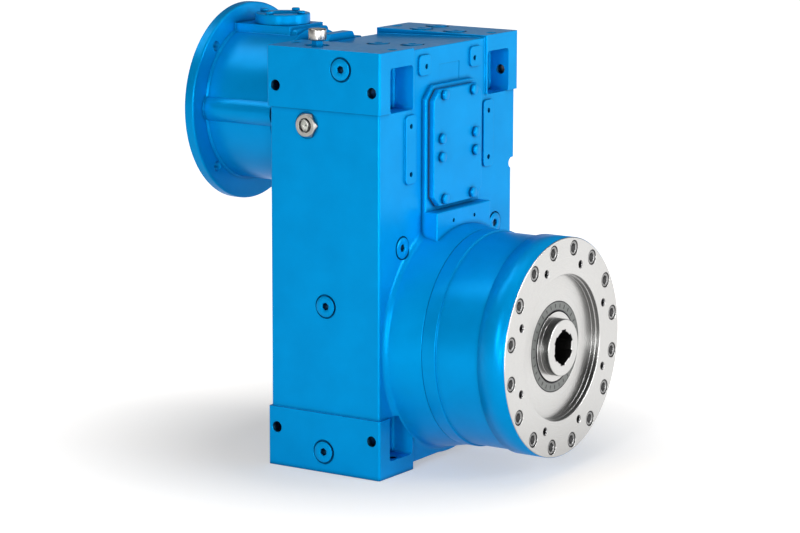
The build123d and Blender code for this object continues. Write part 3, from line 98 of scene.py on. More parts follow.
# Colours, as linear red, green and blue with a full alpha
ENAMEL_DARK = (0.0, 0.30, 0.72, 1)
ENAMEL_LIGHT = (0.0, 0.335, 0.79, 1)
# Deep blue that the enamel takes in creases, as painted shade
ENAMEL_CREASE_SHADE = (0.0, 0.11, 0.30, 1)
ENAMEL_GLINT = (0.05, 0.55, 1.0, 1)
BARE_STEEL = (0.55, 0.55, 0.545, 1)
GROUND_STEEL = (0.42, 0.42, 0.43, 1)
BEARING_STEEL = (0.58, 0.59, 0.61, 1)
BLACK_OXIDE = (0.018, 0.018, 0.02, 1)
SCREW_GREY = (0.30, 0.30, 0.30, 1)
ZINC = (0.44, 0.43, 0.405, 1)
BRASS = (0.62, 0.42, 0.13, 1)
SEAL_GREY = (0.15, 0.16, 0.155, 1)
GASKET_GREY = (0.03, 0.03, 0.035, 1)
# Black of the painted shadow in the screw recesses
PAINTED_SHADOW_BLACK = (0.006, 0.006, 0.007, 1)
# Dark navy of the painted shade in the bolt holes and plug sockets
HOLE_SHADE_NAVY = (0.006, 0.03, 0.06, 1)
REFLECTOR_GREY = (0.62, 0.61, 0.57, 1)
CLEAR_GLASS = (0.95, 0.97, 0.96, 1)
PALE_FLOOR = (0.65, 0.62, 0.585, 1)

# Camera, from the photograph's perspective
LENS = 141.9
CAMERA_PLACE = Vector((2.9896, -4.5051, 1.3281))
CAMERA_YAW = radians(33.469)
CAMERA_PITCH = radians(10.522)
CAMERA_ROLL = radians(0.113)

# Bright boxes that only gloss shows, with direction, spread and strength: they draw the edges
MIRRORED_BOXES = (
    (Vector((0.82, -0.54, -0.10)).normalized(), 0.07, 11.0),
    (Vector((-0.50, -0.20, 0.84)).normalized(), 0.06, 4.0),
)

# Meshes: points nearer than this are one, and edges sharper than this stay sharp or are eased
MERGE_GAP = 0.01 * MM
SHARP_ANGLE = radians(32)
SLIVER_AREA = 1e-9
EASING_TRIES = 8
# Points round a small turned or hexagonal piece, a multiple of twelve
RING_POINTS = 36

# Fasteners: width over the flats or the head, height of the head, radius of the shank, length
# below the head, and width over the flats and depth of the socket
Fastener = namedtuple("Fastener", "wide tall shank_r length socket depth", defaults=(0, 0))
COVER_BOLT = Fastener(16 * MM, 6.5 * MM, 5 * MM, 23 * MM)
LANTERN_BOLT = Fastener(18 * MM, 7.5 * MM, 6 * MM, 43 * MM)
CAP_BOLT = Fastener(13 * MM, 5.3 * MM, 4 * MM, 34 * MM)
FLANGE_SCREW = Fastener(24 * MM, 16 * MM, 8 * MM, 175 * MM, 14 * MM, 9 * MM)
PLATE_SCREW = Fastener(18 * MM, 12 * MM, 6 * MM, 20 * MM, 10 * MM, 6 * MM)
OIL_PLUG = Fastener(36 * MM, 4 * MM, 13 * MM, 16 * MM, 12 * MM, 7 * MM)
LOOSEST_TURN = radians(60)
# How far the painted shade at a socket's floor lies below the head's top
SCREW_FLOOR = 0.9 * MM
PLUG_FLOOR = 2.4 * MM

TAP_TURN = radians(22.5)
TAP_DEPTH = 26 * MM
THREAD_PITCH = 2 * MM
FOOT_HOLE_DEPTH = 26 * MM
RIM_PAINT = 0.35 * MM
# A turned wall gets painted shade: its colour is this share of a turned face's
WALL_SHADE_SHARE = 0.32
# Where the output seal's grey face starts and stops
SEAL_LIP_R = 63.2 * MM
SEAL_RIM_R = 76.8 * MM

# Pieces whose edges are eased, with the width in millimetres and the finish
EASED_PIECES = (
    ("gear_case", 1.6, "paint"),
    ("rear_plate", 1.4, "paint"),
    ("inspection_cover", 1.0, "paint"),
    ("thrust_housing", 0.9, "paint"),
    ("input_lantern", 1.6, "paint"),
    ("cross_bearing_cap", 0.8, "paint"),
    ("breather_neck", 0.5, "paint"),
    ("extruder_flange", 0.5, "bare_steel"),
    ("output_shaft", 0.5, "bare_steel"),
    ("sight_glass_body", 0.5, "zinc_plated"),
)


# Materials

def add_node(tree, kind, inputs=None, **settings):
    """New node with its settings, and its inputs set or linked by name or index."""
    node = tree.nodes.new(kind)
    for key, value in settings.items():
        setattr(node, key, value)
    for key, value in (inputs or {}).items():
        if isinstance(value, bpy.types.NodeSocket):
            tree.links.new(value, node.inputs[key])
        else:
            node.inputs[key].default_value = value
    return node


def surface(name, colour, metallic, roughness):
    """New material with plain values; returns it with its tree and shader."""
    material = bpy.data.materials.new(name)
    material.use_nodes = True
    shader = material.node_tree.nodes["Principled BSDF"]
    shader.inputs["Base Color"].default_value = colour
    shader.inputs["Metallic"].default_value = metallic
    shader.inputs["Roughness"].default_value = roughness
    return material, material.node_tree, shader


def place(tree):
    """The point on the piece, in the piece's own coordinates."""
    return add_node(tree, "ShaderNodeTexCoord").outputs["Object"]


def grain(tree, scale, detail=3.0):
    """Cloudy value between 0 and 1."""
    noise = add_node(
        tree, "ShaderNodeTexNoise", {"Vector": place(tree), "Scale": scale, "Detail": detail}
    )
    return noise.outputs[0]


def stretched(tree, value, low, high, source=(0.3, 0.7)):
    """A value carried from its source range to low and high."""
    limits = {0: value, 1: source[0], 2: source[1], 3: low, 4: high}
    return add_node(tree, "ShaderNodeMapRange", limits).outputs[0]


def blended(tree, share, first, second):
    """A colour between two colours."""
    mixer = add_node(tree, "ShaderNodeMix", data_type="RGBA")
    tree.links.new(share, mixer.inputs[0])
    mixer.inputs[6].default_value = first
    mixer.inputs[7].default_value = second
    return mixer.outputs[2]


def shaded(colour, share):
    """The same colour at a share of its brightness."""
    return tuple(channel * share for channel in colour[:3]) + (1,)


def calculated(tree, operation, first, second=0.0):
    """A sum, product or other result of two values."""
    return add_node(tree, "ShaderNodeMath", {0: first, 1: second}, operation=operation).outputs[0]


def raise_grain(tree, shader, height, depth, strength=1.0):
    """Bump from a height between 0 and 1, with its depth in metres."""
    bump = add_node(tree, "ShaderNodeBump", {"Strength": strength, "Distance": depth})
    tree.links.new(height, bump.inputs["Height"])
    tree.links.new(bump.outputs[0], shader.inputs["Normal"])


def blue_enamel():
    """Satin sky-blue enamel with fine metal flakes over a cast skin, darkened towards a deep blue
    in creases as painted shade.
    """
    material, tree, shader = surface("blue_enamel", ENAMEL_LIGHT, metallic=0.20, roughness=0.34)
    colour = blended(tree, stretched(tree, grain(tree, 14), 0, 1), ENAMEL_DARK, ENAMEL_LIGHT)
    # Painted shade: near other surfaces the colour goes towards the deep crease blue
    openness = add_node(tree, "ShaderNodeAmbientOcclusion", {"Distance": 9 * MM}, samples=8)
    unshaded_share = stretched(tree, openness.outputs["AO"], 0, 1, source=(0.45, 0.95))
    crease_shaded = add_node(tree, "ShaderNodeMix", {0: unshaded_share, 7: colour}, data_type="RGBA")
    crease_shaded.inputs[6].default_value = ENAMEL_CREASE_SHADE
    tree.links.new(crease_shaded.outputs[2], shader.inputs["Base Color"])
    tree.links.new(stretched(tree, grain(tree, 110), 0.29, 0.35), shader.inputs["Roughness"])
    shader.inputs["Specular IOR Level"].default_value = 0.10
    shader.inputs["Specular Tint"].default_value = ENAMEL_GLINT
    skin = calculated(tree, "ADD", grain(tree, 150, 2), grain(tree, 1100, 2))
    raise_grain(tree, shader, skin, depth=0.04 * MM, strength=0.25)
    return material


def around(tree, centre, axis):
    """Distance from an axis, the direction that runs round it, and the way from its centre."""
    offset = add_node(
        tree, "ShaderNodeVectorMath", {0: place(tree), 1: centre}, operation="SUBTRACT"
    ).outputs[0]
    round_it = add_node(
        tree, "ShaderNodeVectorMath", {0: axis, 1: offset}, operation="CROSS_PRODUCT"
    ).outputs[0]
    distance = add_node(tree, "ShaderNodeVectorMath", {0: round_it}, operation="LENGTH")
    return distance.outputs["Value"], round_it, offset


def turned_metal(name, colour, roughness, centre, axis, marks=2600):
    """Lathe-turned metal: fine marks round an axis and the stretched gloss they give, with
    painted shade on the walls round the axis.
    """
    material, tree, shader = surface(name, colour, metallic=1.0, roughness=roughness)
    distance, round_it, offset = around(tree, centre, axis)
    along = add_node(
        tree, "ShaderNodeVectorMath", {0: offset, 1: axis}, operation="DOT_PRODUCT"
    ).outputs["Value"]
    cut = calculated(tree, "ADD", distance, along)
    lathe = add_node(
        tree, "ShaderNodeTexNoise", {"W": cut, "Scale": marks, "Detail": 2.0},
        noise_dimensions="1D",
    ).outputs[0]
    cut_half = calculated(tree, "MULTIPLY", lathe, 0.5)
    grain_half = calculated(tree, "MULTIPLY", grain(tree, 700), 0.5)
    speckle = calculated(tree, "ADD", cut_half, grain_half)
    faces = blended(tree, speckle, shaded(colour, 0.88), colour)
    # Painted shade: faces turned across the axis keep their tone, the walls round it are darkened
    normal = add_node(tree, "ShaderNodeTexCoord").outputs["Normal"]
    facing = add_node(
        tree, "ShaderNodeVectorMath", {0: normal, 1: axis}, operation="DOT_PRODUCT"
    ).outputs["Value"]
    turned_to = stretched(tree, calculated(tree, "ABSOLUTE", facing), 0, 1, source=(0.2, 0.8))
    tone = add_node(tree, "ShaderNodeMix", {0: turned_to, 7: faces}, data_type="RGBA")
    tone.inputs[6].default_value = shaded(colour, WALL_SHADE_SHARE)
    tree.links.new(tone.outputs[2], shader.inputs["Base Color"])
    rough = stretched(tree, lathe, roughness - 0.05, roughness + 0.05)
    tree.links.new(rough, shader.inputs["Roughness"])
    shader.inputs["Anisotropic"].default_value = 0.3
    tree.links.new(round_it, shader.inputs["Tangent"])
    raise_grain(tree, shader, lathe, depth=0.02 * MM, strength=0.35)
    return material


def plain_metal(name, colour, roughness, scale=240):
    """Metal with a slightly uneven tone and gloss."""
    material, tree, shader = surface(name, colour, metallic=1.0, roughness=roughness)
    tone = blended(tree, grain(tree, scale), shaded(colour, 0.8), colour)
    tree.links.new(tone, shader.inputs["Base Color"])
    rough = stretched(tree, grain(tree, scale * 3), roughness - 0.07, roughness + 0.07)
    tree.links.new(rough, shader.inputs["Roughness"])
    raise_grain(tree, shader, grain(tree, scale * 6, 2), depth=0.03 * MM, strength=0.4)
    return material


def soft_solid(name, colour, roughness, scale=900):
    """Rubber, sealing sheet or painted shadow with a fine skin."""
    material, tree, shader = surface(name, colour, metallic=0.0, roughness=roughness)
    tone = blended(tree, grain(tree, scale / 8), shaded(colour, 0.75), colour)
    tree.links.new(tone, shader.inputs["Base Color"])
    raise_grain(tree, shader, grain(tree, scale, 2), depth=0.06 * MM, strength=0.5)
    return material


def ringed_seal():
    """Grey seal face between its black rim and black lip; the pockets sunk into it are coloured
    dark as painted shade.
    """
    material, tree, shader = surface("ringed_seal", SEAL_GREY, metallic=0.1, roughness=0.42)
    distance = around(tree, OUTPUT_CENTRE, ALONG_X)[0]
    station = add_node(tree, "ShaderNodeSeparateXYZ", {0: place(tree)}).outputs["X"]
    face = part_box("output_seal")[1].x
    # Painted shade: below the face level the sunk pockets take the dark colour
    raised = stretched(tree, station, 0, 1, source=(face - 0.9 * MM, face - 0.4 * MM))
    within = stretched(tree, distance, 1, 0, source=(SEAL_RIM_R - 0.5 * MM, SEAL_RIM_R))
    beyond = stretched(tree, distance, 0, 1, source=(SEAL_LIP_R, SEAL_LIP_R + 0.5 * MM))
    shown = calculated(tree, "MULTIPLY", calculated(tree, "MULTIPLY", within, beyond), raised)
    tree.links.new(blended(tree, shown, GASKET_GREY, SEAL_GREY), shader.inputs["Base Color"])
    raise_grain(tree, shader, grain(tree, 900, 2), depth=0.05 * MM, strength=0.4)
    return material


def window_glass():
    """Clear window of the sight glass."""
    material, tree, shader = surface("window_glass", CLEAR_GLASS, metallic=0.0, roughness=0.03)
    shader.inputs["Transmission Weight"].default_value = 1.0
    shader.inputs["IOR"].default_value = 1.3
    return material


ENAMEL = blue_enamel()
TURNED_OUTPUT = turned_metal("turned_flange_steel", BARE_STEEL, 0.30, OUTPUT_CENTRE, ALONG_X)
TURNED_INPUT = turned_metal("turned_carrier_steel", BARE_STEEL, 0.30, INPUT_CENTRE, ALONG_X)
GEAR_METAL = plain_metal("ground_gear_steel", GROUND_STEEL, 0.3)
BEARING_METAL = plain_metal("bearing_steel", BEARING_STEEL, 0.16)
HOLE_SHADE_METAL = plain_metal("painted_hole_shade", HOLE_SHADE_NAVY, 0.5)
BLACK_METAL = plain_metal("black_oxide", BLACK_OXIDE, 0.38)
SCREW_METAL = plain_metal("phosphated_screw_steel", SCREW_GREY, 0.34)
ZINC_METAL = plain_metal("zinc_plate", ZINC, 0.32)
BRASS_METAL = plain_metal("cage_brass", BRASS, 0.3)
SEAL_RUBBER = soft_solid("seal_rubber", SEAL_GREY, 0.5)
RINGED_SEAL = ringed_seal()
SHADOW_BLACK = soft_solid("painted_shadow_black", PAINTED_SHADOW_BLACK, 0.6)
GASKET_SHEET = soft_solid("gasket_sheet", GASKET_GREY, 0.7)
REFLECTOR = soft_solid("sight_reflector_white", REFLECTOR_GREY, 0.45)
GLASS = window_glass()

MATERIAL_OF_SLOT = {
    "paint": ENAMEL,
    "bare_steel": TURNED_OUTPUT,
    "black_screw": BLACK_METAL,
    "seal_rubber": SEAL_RUBBER,
    "gasket": GASKET_SHEET,
    "zinc_plated": ZINC_METAL,
    "sight_glass": GLASS,
    "bearing_brass": BRASS_METAL,
    "bearing_steel": BEARING_METAL,
    "gear_steel": GEAR_METAL,
}


def dress_nodes():
    """Gives every CAD node the finish of its slot."""
    for entry in RECORD["subparts"]:
        node = NODES[entry["node"]]
        node.data.materials.clear()
        node.data.materials.append(MATERIAL_OF_SLOT[entry["material_slot"]])
    for name in ("bearing_carrier", "input_quill"):
        NODES[name].data.materials[0] = TURNED_INPUT
    NODES["output_seal"].data.materials[0] = RINGED_SEAL


# Meshes

def mark_sharp(bm):
    """Smooth faces that break at sharp edges."""
    for face in bm.faces:
        face.smooth = True
    for edge in bm.edges:
        edge.smooth = len(edge.link_faces) == 2 and edge.calc_face_angle(0) < SHARP_ANGLE


def finished(name, mesh, material, slot, body, *replaced):
    """Links a mesh as a piece of the object, on its body and for its CAD nodes."""
    mesh.materials.clear()
    mesh.materials.append(material)
    mesh.polygons.foreach_set("material_index", [0] * len(mesh.polygons))
    piece = bpy.data.objects.new(name, mesh)
    bpy.context.scene.collection.objects.link(piece)
    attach(piece, body)
    if replaced:
        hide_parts(*replaced)
    return piece


def holder_of(name, mesh):
    """A working object that carries modifiers until they are applied."""
    holder = bpy.data.objects.new(name + "_holder", mesh)
    bpy.context.scene.collection.objects.link(holder)
    return holder


def evaluated_mesh(holder):
    """The holder's mesh with its modifiers applied; the holder is removed."""
    bpy.context.view_layer.update()
    evaluated = holder.evaluated_get(bpy.context.evaluated_depsgraph_get())
    mesh = bpy.data.meshes.new_from_object(evaluated)
    bpy.data.objects.remove(holder)
    return mesh


def merged_copy(node):
    """A CAD node's mesh with its triangles joined and its flat faces whole."""
    bm = bmesh.new()
    bm.from_mesh(NODES[node].data)
    bmesh.ops.remove_doubles(bm, verts=bm.verts, dist=MERGE_GAP)
    bmesh.ops.dissolve_limit(
        bm, angle_limit=radians(0.5), verts=bm.verts, edges=bm.edges, delimit=set()
    )
    return bm


def islands(node):
    """Lowest and highest corner of each separate solid in a CAD node, in a steady order."""
    bm = bmesh.new()
    bm.from_mesh(NODES[node].data)
    bmesh.ops.remove_doubles(bm, verts=bm.verts, dist=MERGE_GAP)
    unseen = set(bm.verts)
    boxes = []
    while unseen:
        queue = [unseen.pop()]
        group = []
        while queue:
            vertex = queue.pop()
            group.append(vertex.co.copy())
            for edge in vertex.link_edges:
                other = edge.other_vert(vertex)
                if other in unseen:
                    unseen.remove(other)
                    queue.append(other)
        low = Vector([min(point[i] for point in group) for i in range(3)])
        high = Vector([max(point[i] for point in group) for i in range(3)])
        boxes.append((low, high))
    bm.free()
    return sorted(boxes, key=lambda box: [round(value, 4) for value in box[0]])


def flat_points(bm):
    """Corners of the whole flat area that each face belongs to, by face."""
    points_of = {}
    for first in bm.faces:
        if first in points_of:
            continue
        area = {first}
        queue = [first]
        while queue:
            for edge in queue.pop().edges:
                for other in edge.link_faces:
                    if other not in area and other.normal.dot(first.normal) > 0.9999:
                        area.add(other)
                        queue.append(other)
        points = [vertex.co for vertex in {vertex for face in area for vertex in face.verts}]
        for face in area:
            points_of[face] = points
    return points_of


def edge_runs(bm):
    """Sharp edges in runs, each of which goes on without a corner."""
    unseen = {edge for edge in bm.edges if not edge.smooth and len(edge.link_faces) == 2}
    found = []
    while unseen:
        run = [unseen.pop()]
        for edge in run:
            for vertex in edge.verts:
                sharp = [other for other in vertex.link_edges if not other.smooth]
                if len(sharp) == 2:
                    for other in unseen.intersection(sharp):
                        unseen.remove(other)
                        run.append(other)
        found.append(run)
    return found


def room_beside(edge, points, enough):
    """How far a flat area runs back from one of its edges, up to what is enough."""
    start = edge.verts[0].co
    along = (edge.verts[1].co - start).normalized()
    widest = 0.0
    for point in points:
        step = point - start
        widest = max(widest, (step - along * step.dot(along)).length)
        if widest > enough:
            break
    return widest


def tangles(mesh):
    """Points where an eased face crosses itself or folds over."""
    mesh.calc_loop_triangles()
    normals = mesh.corner_normals
    folded = {}
    for triangle in mesh.loop_triangles:
        lit = sum((normals[i].vector for i in triangle.loops), Vector())
        if triangle.area > SLIVER_AREA and triangle.normal.dot(lit) < 0:
            folded.setdefault(triangle.polygon_index, []).extend(triangle.vertices)
    points = []
    for index, touched in folded.items():
        polygon = mesh.polygons[index]
        flatten = polygon.normal.to_track_quat("Z", "Y").to_matrix().transposed()
        ring = [mesh.vertices[v].co.copy() for v in polygon.vertices]
        spots = [(flatten @ point).to_2d() for point in ring]
        count = len(ring)
        crossings = [
            i for i in range(count) for j in range(count)
            if (j - i) % count not in (0, 1, count - 1)
            and intersect_line_line_2d(spots[i - 1], spots[i], spots[j - 1], spots[j])
        ]
        points += [ring[k] for i in crossings for k in (i - 1, i)]
        if not crossings:
            points += [mesh.vertices[v].co.copy() for v in touched]
    return points


def eased_mesh(bm, name, width):
    """The mesh with its weighted edges rounded off."""
    mesh = bpy.data.meshes.new(name)
    bm.to_mesh(mesh)
    holder = holder_of(name, mesh)
    bevel = holder.modifiers.new("eased_edges", "BEVEL")
    bevel.width = width
    bevel.segments = 2
    bevel.limit_method = "WEIGHT"
    bevel.use_clamp_overlap = False
    flat = holder.modifiers.new("flat_faces", "WEIGHTED_NORMAL")
    flat.keep_sharp = True
    return evaluated_mesh(holder)


def softened(node, width, material, slot):
    """The CAD node again with its sharp edges eased, less where there is little room."""
    bm = merged_copy(node)
    bm.normal_update()
    mark_sharp(bm)
    easing = bm.edges.layers.float.new("bevel_weight_edge")
    points_of = flat_points(bm)
    runs = edge_runs(bm)
    # A run gets its full width where the flat beside it is 2.5 times as wide, and less in less
    shares = []
    for run in runs:
        room = min(
            room_beside(edge, points_of[face], 3 * width)
            for edge in run for face in edge.link_faces
        )
        shares.append(min(1.0, room / (2.5 * width)) if room > width / 4 else 0.0)
    for attempt in range(EASING_TRIES):
        for run, share in zip(runs, shares):
            for edge in run:
                edge[easing] = share
        mesh = eased_mesh(bm, node + "_eased", width)
        trouble = tangles(mesh)
        if not trouble:
            break
        # Runs that end near a tangle are eased half as much, or not at all
        near = KDTree(len(trouble))
        for index, point in enumerate(trouble):
            near.insert(point, index)
        near.balance()
        for number, run in enumerate(runs):
            corners = {vertex for edge in run for vertex in edge.verts}
            gap = min(near.find(vertex.co)[2] for vertex in corners)
            if gap < 2.2 * width * shares[number] + 0.2 * MM:
                shares[number] = shares[number] / 2 if shares[number] > 0.2 else 0.0
    bm.free()
    return finished(node + "_eased", mesh, material, slot, NODES[node]["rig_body"], node)


# Small turned and hexagonal pieces

def hexagon(across_flats):
    """Radius of a hexagon by angle, with a corner at 30 degrees."""
    return lambda angle: across_flats / 2 / cos((angle + pi / 6) % (pi / 3) - pi / 6)


def lofted(name, rings, closed=False, count=RING_POINTS):
    """Mesh through rings about Z, each a radius and a height, as numbers or by angle."""
    bm = bmesh.new()
    angles = [2 * pi * k / count for k in range(count)]
    loops = []
    for radius, height in rings:
        loop = []
        for angle in angles:
            r = radius(angle) if callable(radius) else radius
            z = height(angle) if callable(height) else height
            loop.append(bm.verts.new((r * cos(angle), r * sin(angle), z)))
        loops.append(loop)
    pairs = list(zip(loops, loops[1:] + loops[:1]))
    for lower, upper in pairs if closed else pairs[:-1]:
        for k in range(count):
            after = (k + 1) % count
            bm.faces.new((lower[k], lower[after], upper[after], upper[k]))
    if not closed:
        bm.faces.new(list(reversed(loops[0])))
        bm.faces.new(loops[-1])
    mark_sharp(bm)
    mesh = bpy.data.meshes.new(name)
    bm.to_mesh(mesh)
    bm.free()
    return mesh


def hexagon_bolt(name, size):
    """Hexagon bolt with its corners turned off, its seat at z=0."""
    side = hexagon(size.wide)
    top_r = size.wide * 0.465

    def turned_off(angle):
        return size.tall - (side(angle) - top_r) * tan(radians(30))

    return lofted(name, [
        (size.shank_r, -size.length),
        (size.shank_r, 0),
        (size.wide * 0.47, 0),
        (side, size.tall * 0.06),
        (side, turned_off),
        (top_r, size.tall),
    ])


def socket_screw(name, size):
    """Cylinder head screw with a hexagon socket, its seat at z=0."""
    head_r = size.wide / 2
    rounding = size.tall * 0.05
    hole = hexagon(size.socket)
    return lofted(name, [
        (size.shank_r, -size.length),
        (size.shank_r, 0),
        (head_r, 0),
        (head_r, size.tall - rounding),
        (head_r - rounding, size.tall),
        (size.socket * 0.62, size.tall),
        (hole, size.tall - size.socket * 0.06),
        (hole, size.tall - size.depth),
    ])


def socket_floor(name, across_flats, top):
    """A dark disc at the floor of a hexagon socket, as painted shade."""
    side = hexagon(across_flats - 0.1 * MM)
    return lofted(name, [(side, top - 1.2 * MM), (side, top)])


def moved(mesh, centre, aim):
    """The mesh with its local Z turned to an axis and its origin put at a centre."""
    turn = aim.to_track_quat("Z", "Y").to_matrix().to_4x4()
    mesh.transform(Matrix.Translation(centre) @ turn)
    return mesh


def repeat_tree():
    """Geometry Nodes that set a fastener on every point, along its aim and turned by chance."""
    tree = bpy.data.node_groups.new("repeated_fasteners", "GeometryNodeTree")
    for label, kind in (
        ("Places", "NodeSocketGeometry"),
        ("Fastener", "NodeSocketObject"),
        ("Finish", "NodeSocketMaterial"),
        ("Loosest turn", "NodeSocketFloat"),
        ("Seed", "NodeSocketInt"),
    ):
        tree.interface.new_socket(label, in_out="INPUT", socket_type=kind)
    tree.interface.new_socket("Fasteners", in_out="OUTPUT", socket_type="NodeSocketGeometry")
    given = add_node(tree, "NodeGroupInput")
    pattern = add_node(tree, "GeometryNodeObjectInfo", {"Object": given.outputs["Fastener"]})
    aim = add_node(
        tree, "GeometryNodeInputNamedAttribute", {"Name": "aim"}, data_type="FLOAT_VECTOR"
    )
    facing = add_node(tree, "FunctionNodeAlignRotationToVector", axis="Z")
    tree.links.new(aim.outputs[0], facing.inputs["Vector"])
    chance = add_node(tree, "FunctionNodeRandomValue", data_type="FLOAT")
    tree.links.new(given.outputs["Loosest turn"], chance.inputs[3])
    tree.links.new(given.outputs["Seed"], chance.inputs["Seed"])
    spin = add_node(
        tree, "FunctionNodeAxisAngleToRotation", {"Axis": (0, 0, 1), "Angle": chance.outputs[1]}
    )
    turned = add_node(tree, "FunctionNodeRotateRotation", rotation_space="LOCAL")
    tree.links.new(facing.outputs[0], turned.inputs[0])
    tree.links.new(spin.outputs[0], turned.inputs[1])
    copies = add_node(tree, "GeometryNodeInstanceOnPoints", {
        "Points": given.outputs["Places"],
        "Instance": pattern.outputs["Geometry"],
        "Rotation": turned.outputs[0],
    })
    real = add_node(tree, "GeometryNodeRealizeInstances", {0: copies.outputs[0]})
    dressed = add_node(
        tree, "GeometryNodeSetMaterial", {0: real.outputs[0], "Material": given.outputs["Finish"]}
    )
    result = add_node(tree, "NodeGroupOutput")
    tree.links.new(dressed.outputs[0], result.inputs[0])
    return tree


REPEAT_TREE = repeat_tree()


def repeated(name, pattern, places, material, slot, body, *replaced, loosest_turn=0.0):
    """One piece that holds a copy of the pattern at each place, a (point, aim) pair."""
    points = bpy.data.meshes.new(name + "_places")
    points.from_pydata([tuple(point) for point, aim in places], [], [])
    aims = points.attributes.new("aim", "FLOAT_VECTOR", "POINT")
    aims.data.foreach_set("vector", [value for point, aim in places for value in aim])
    source = holder_of(name + "_pattern", pattern)
    holder = holder_of(name, points)
    repeat = holder.modifiers.new("repeat", "NODES")
    repeat.node_group = REPEAT_TREE
    values = {"Fastener": source, "Finish": material, "Loosest turn": loosest_turn, "Seed": 3}
    for item in REPEAT_TREE.interface.items_tree:
        if item.name in values:
            repeat[item.identifier] = values[item.name]
    mesh = evaluated_mesh(holder)
    bpy.data.objects.remove(source)
    return finished(name, mesh, material, slot, body, *replaced)


def facing_out(low, high, aim):
    """Middle of the face of a box that looks along an axis."""
    half = (high - low) / 2
    return (low + high) / 2 + Vector([aim[i] * half[i] for i in range(3)])


def seats(node, aim, head):
    """Where each bolt of a CAD node seats: on its axis, a head's height below its top."""
    return [(facing_out(low, high, aim) - aim * head, aim) for low, high in islands(node)]


def outward(low, high):
    """The direction that a plug faces: along its shortest side, away from the case's middle."""
    span = high - low
    axis = min(range(3), key=lambda i: span[i])
    side = 1 if (low + high)[axis] / 2 > CASE_CENTRE[axis] else -1
    return Vector([side if i == axis else 0 for i in range(3)])


def plug_seats():
    """Where each oil plug seats, on whichever side of the case it is."""
    places = []
    for low, high in islands("oil_plugs"):
        aim = outward(low, high)
        places.append((facing_out(low, high, aim) - aim * OIL_PLUG.tall, aim))
    return places


def fasteners():
    """Bolts, screws and plugs, one piece for each kind."""
    for kind, size, aim, material, slot in (
        ("cover_bolt", COVER_BOLT, ALONG_X, ENAMEL, "paint"),
        ("lantern_bolt", LANTERN_BOLT, AGAINST_X, ENAMEL, "paint"),
        ("cap_bolt", CAP_BOLT, ALONG_Z, ENAMEL, "paint"),
        ("flange_screw", FLANGE_SCREW, ALONG_X, SCREW_METAL, "black_screw"),
        ("rear_plate_screw", PLATE_SCREW, AGAINST_X, BLACK_METAL, "black_screw"),
    ):
        pattern = socket_screw(kind, size) if size.socket else hexagon_bolt(kind, size)
        repeated(
            kind + "_set", pattern, seats(kind + "s", aim, size.tall), material, slot, HOUSING,
            kind + "s", loosest_turn=LOOSEST_TURN,
        )
    plugs = plug_seats()
    repeated(
        "oil_plug_set", socket_screw("oil_plug", OIL_PLUG), plugs, ENAMEL, "paint", HOUSING,
        "oil_plugs", loosest_turn=LOOSEST_TURN,
    )
    # Painted shade: a dark disc at the floor of each plug's socket
    repeated(
        "oil_plug_sockets",
        socket_floor("plug_socket", OIL_PLUG.socket, OIL_PLUG.tall - PLUG_FLOOR),
        plugs, HOLE_SHADE_METAL, "gear_steel", HOUSING, loosest_turn=LOOSEST_TURN,
    )


def mount_of(name):
    """A mount of the record, by its name."""
    return next(mount for mount in RECORD["mounts"] if mount["name"] == name)


def circle_places(mount, turn):
    """Places of a round bolt pattern of the record, each facing out of its hole."""
    centre = Vector(mount["pos_m"])
    radius = mount["dims"]["pcd_mm"] * MM / 2
    count = mount["dims"]["count"]
    aim = Vector(mount["axis"])
    angles = [turn + 2 * pi * k / count for k in range(count)]
    return [(centre + Vector((0, cos(a), sin(a))) * radius, aim) for a in angles]


def corner_places(mount):
    """Places of a record's four-corner bolt pattern, each facing out of its hole."""
    centre = Vector(mount["pos_m"])
    aim = Vector(mount["axis"])
    across = ALONG_X * mount["dims"]["spacing_x_mm"] * MM / 2
    level = abs(aim.z) > 0.5
    up = (ALONG_Y if level else ALONG_Z) * mount["dims"]["spacing_y_mm"] * MM / 2
    return [(centre + across * i + up * j, aim) for i in (-1, 1) for j in (-1, 1)]


def hole_shade_linings():
    """Painted shade: dark navy linings inside the foot blocks' bolt holes."""
    top = -1.5 * MM
    for name in ("base_bolts", "top_bolts", "near_side_bolts", "far_side_bolts"):
        mount = mount_of(name)
        hole_r = mount["dims"]["hole_r_mm"] * MM
        inner = hole_r - 0.12 * MM
        outer = hole_r + 0.05 * MM
        lining = lofted("hole_shade_wall", [
            (inner, -FOOT_HOLE_DEPTH), (inner, top), (outer, top), (outer, -FOOT_HOLE_DEPTH),
        ], closed=True)
        repeated(
            name + "_drilled_walls", lining, corner_places(mount), HOLE_SHADE_METAL, "gear_steel",
            HOUSING,
        )


def screw_recesses():
    """Painted shadow: a black ring in the gap round each flange screw's head and a black disc at
    the floor of its socket.
    """
    inner = FLANGE_SCREW.wide / 2 - 1.0 * MM
    outer = FLANGE_SCREW.wide / 2 + 1.1 * MM
    top = FLANGE_SCREW.tall + 0.02 * MM
    bottom = FLANGE_SCREW.tall - 0.5 * MM
    gap = lofted(
        "screw_gap", [(inner, top), (outer, top), (outer, bottom), (inner, bottom)], closed=True
    )
    floor = socket_floor("screw_socket", FLANGE_SCREW.socket, FLANGE_SCREW.tall - SCREW_FLOOR)
    bm = bmesh.new()
    bm.from_mesh(gap)
    bm.from_mesh(floor)
    bm.to_mesh(gap)
    bm.free()
    repeated(
        "flange_screw_recesses", gap, seats("flange_screws", ALONG_X, FLANGE_SCREW.tall),
        SHADOW_BLACK, "black_screw", HOUSING, loosest_turn=LOOSEST_TURN,
    )


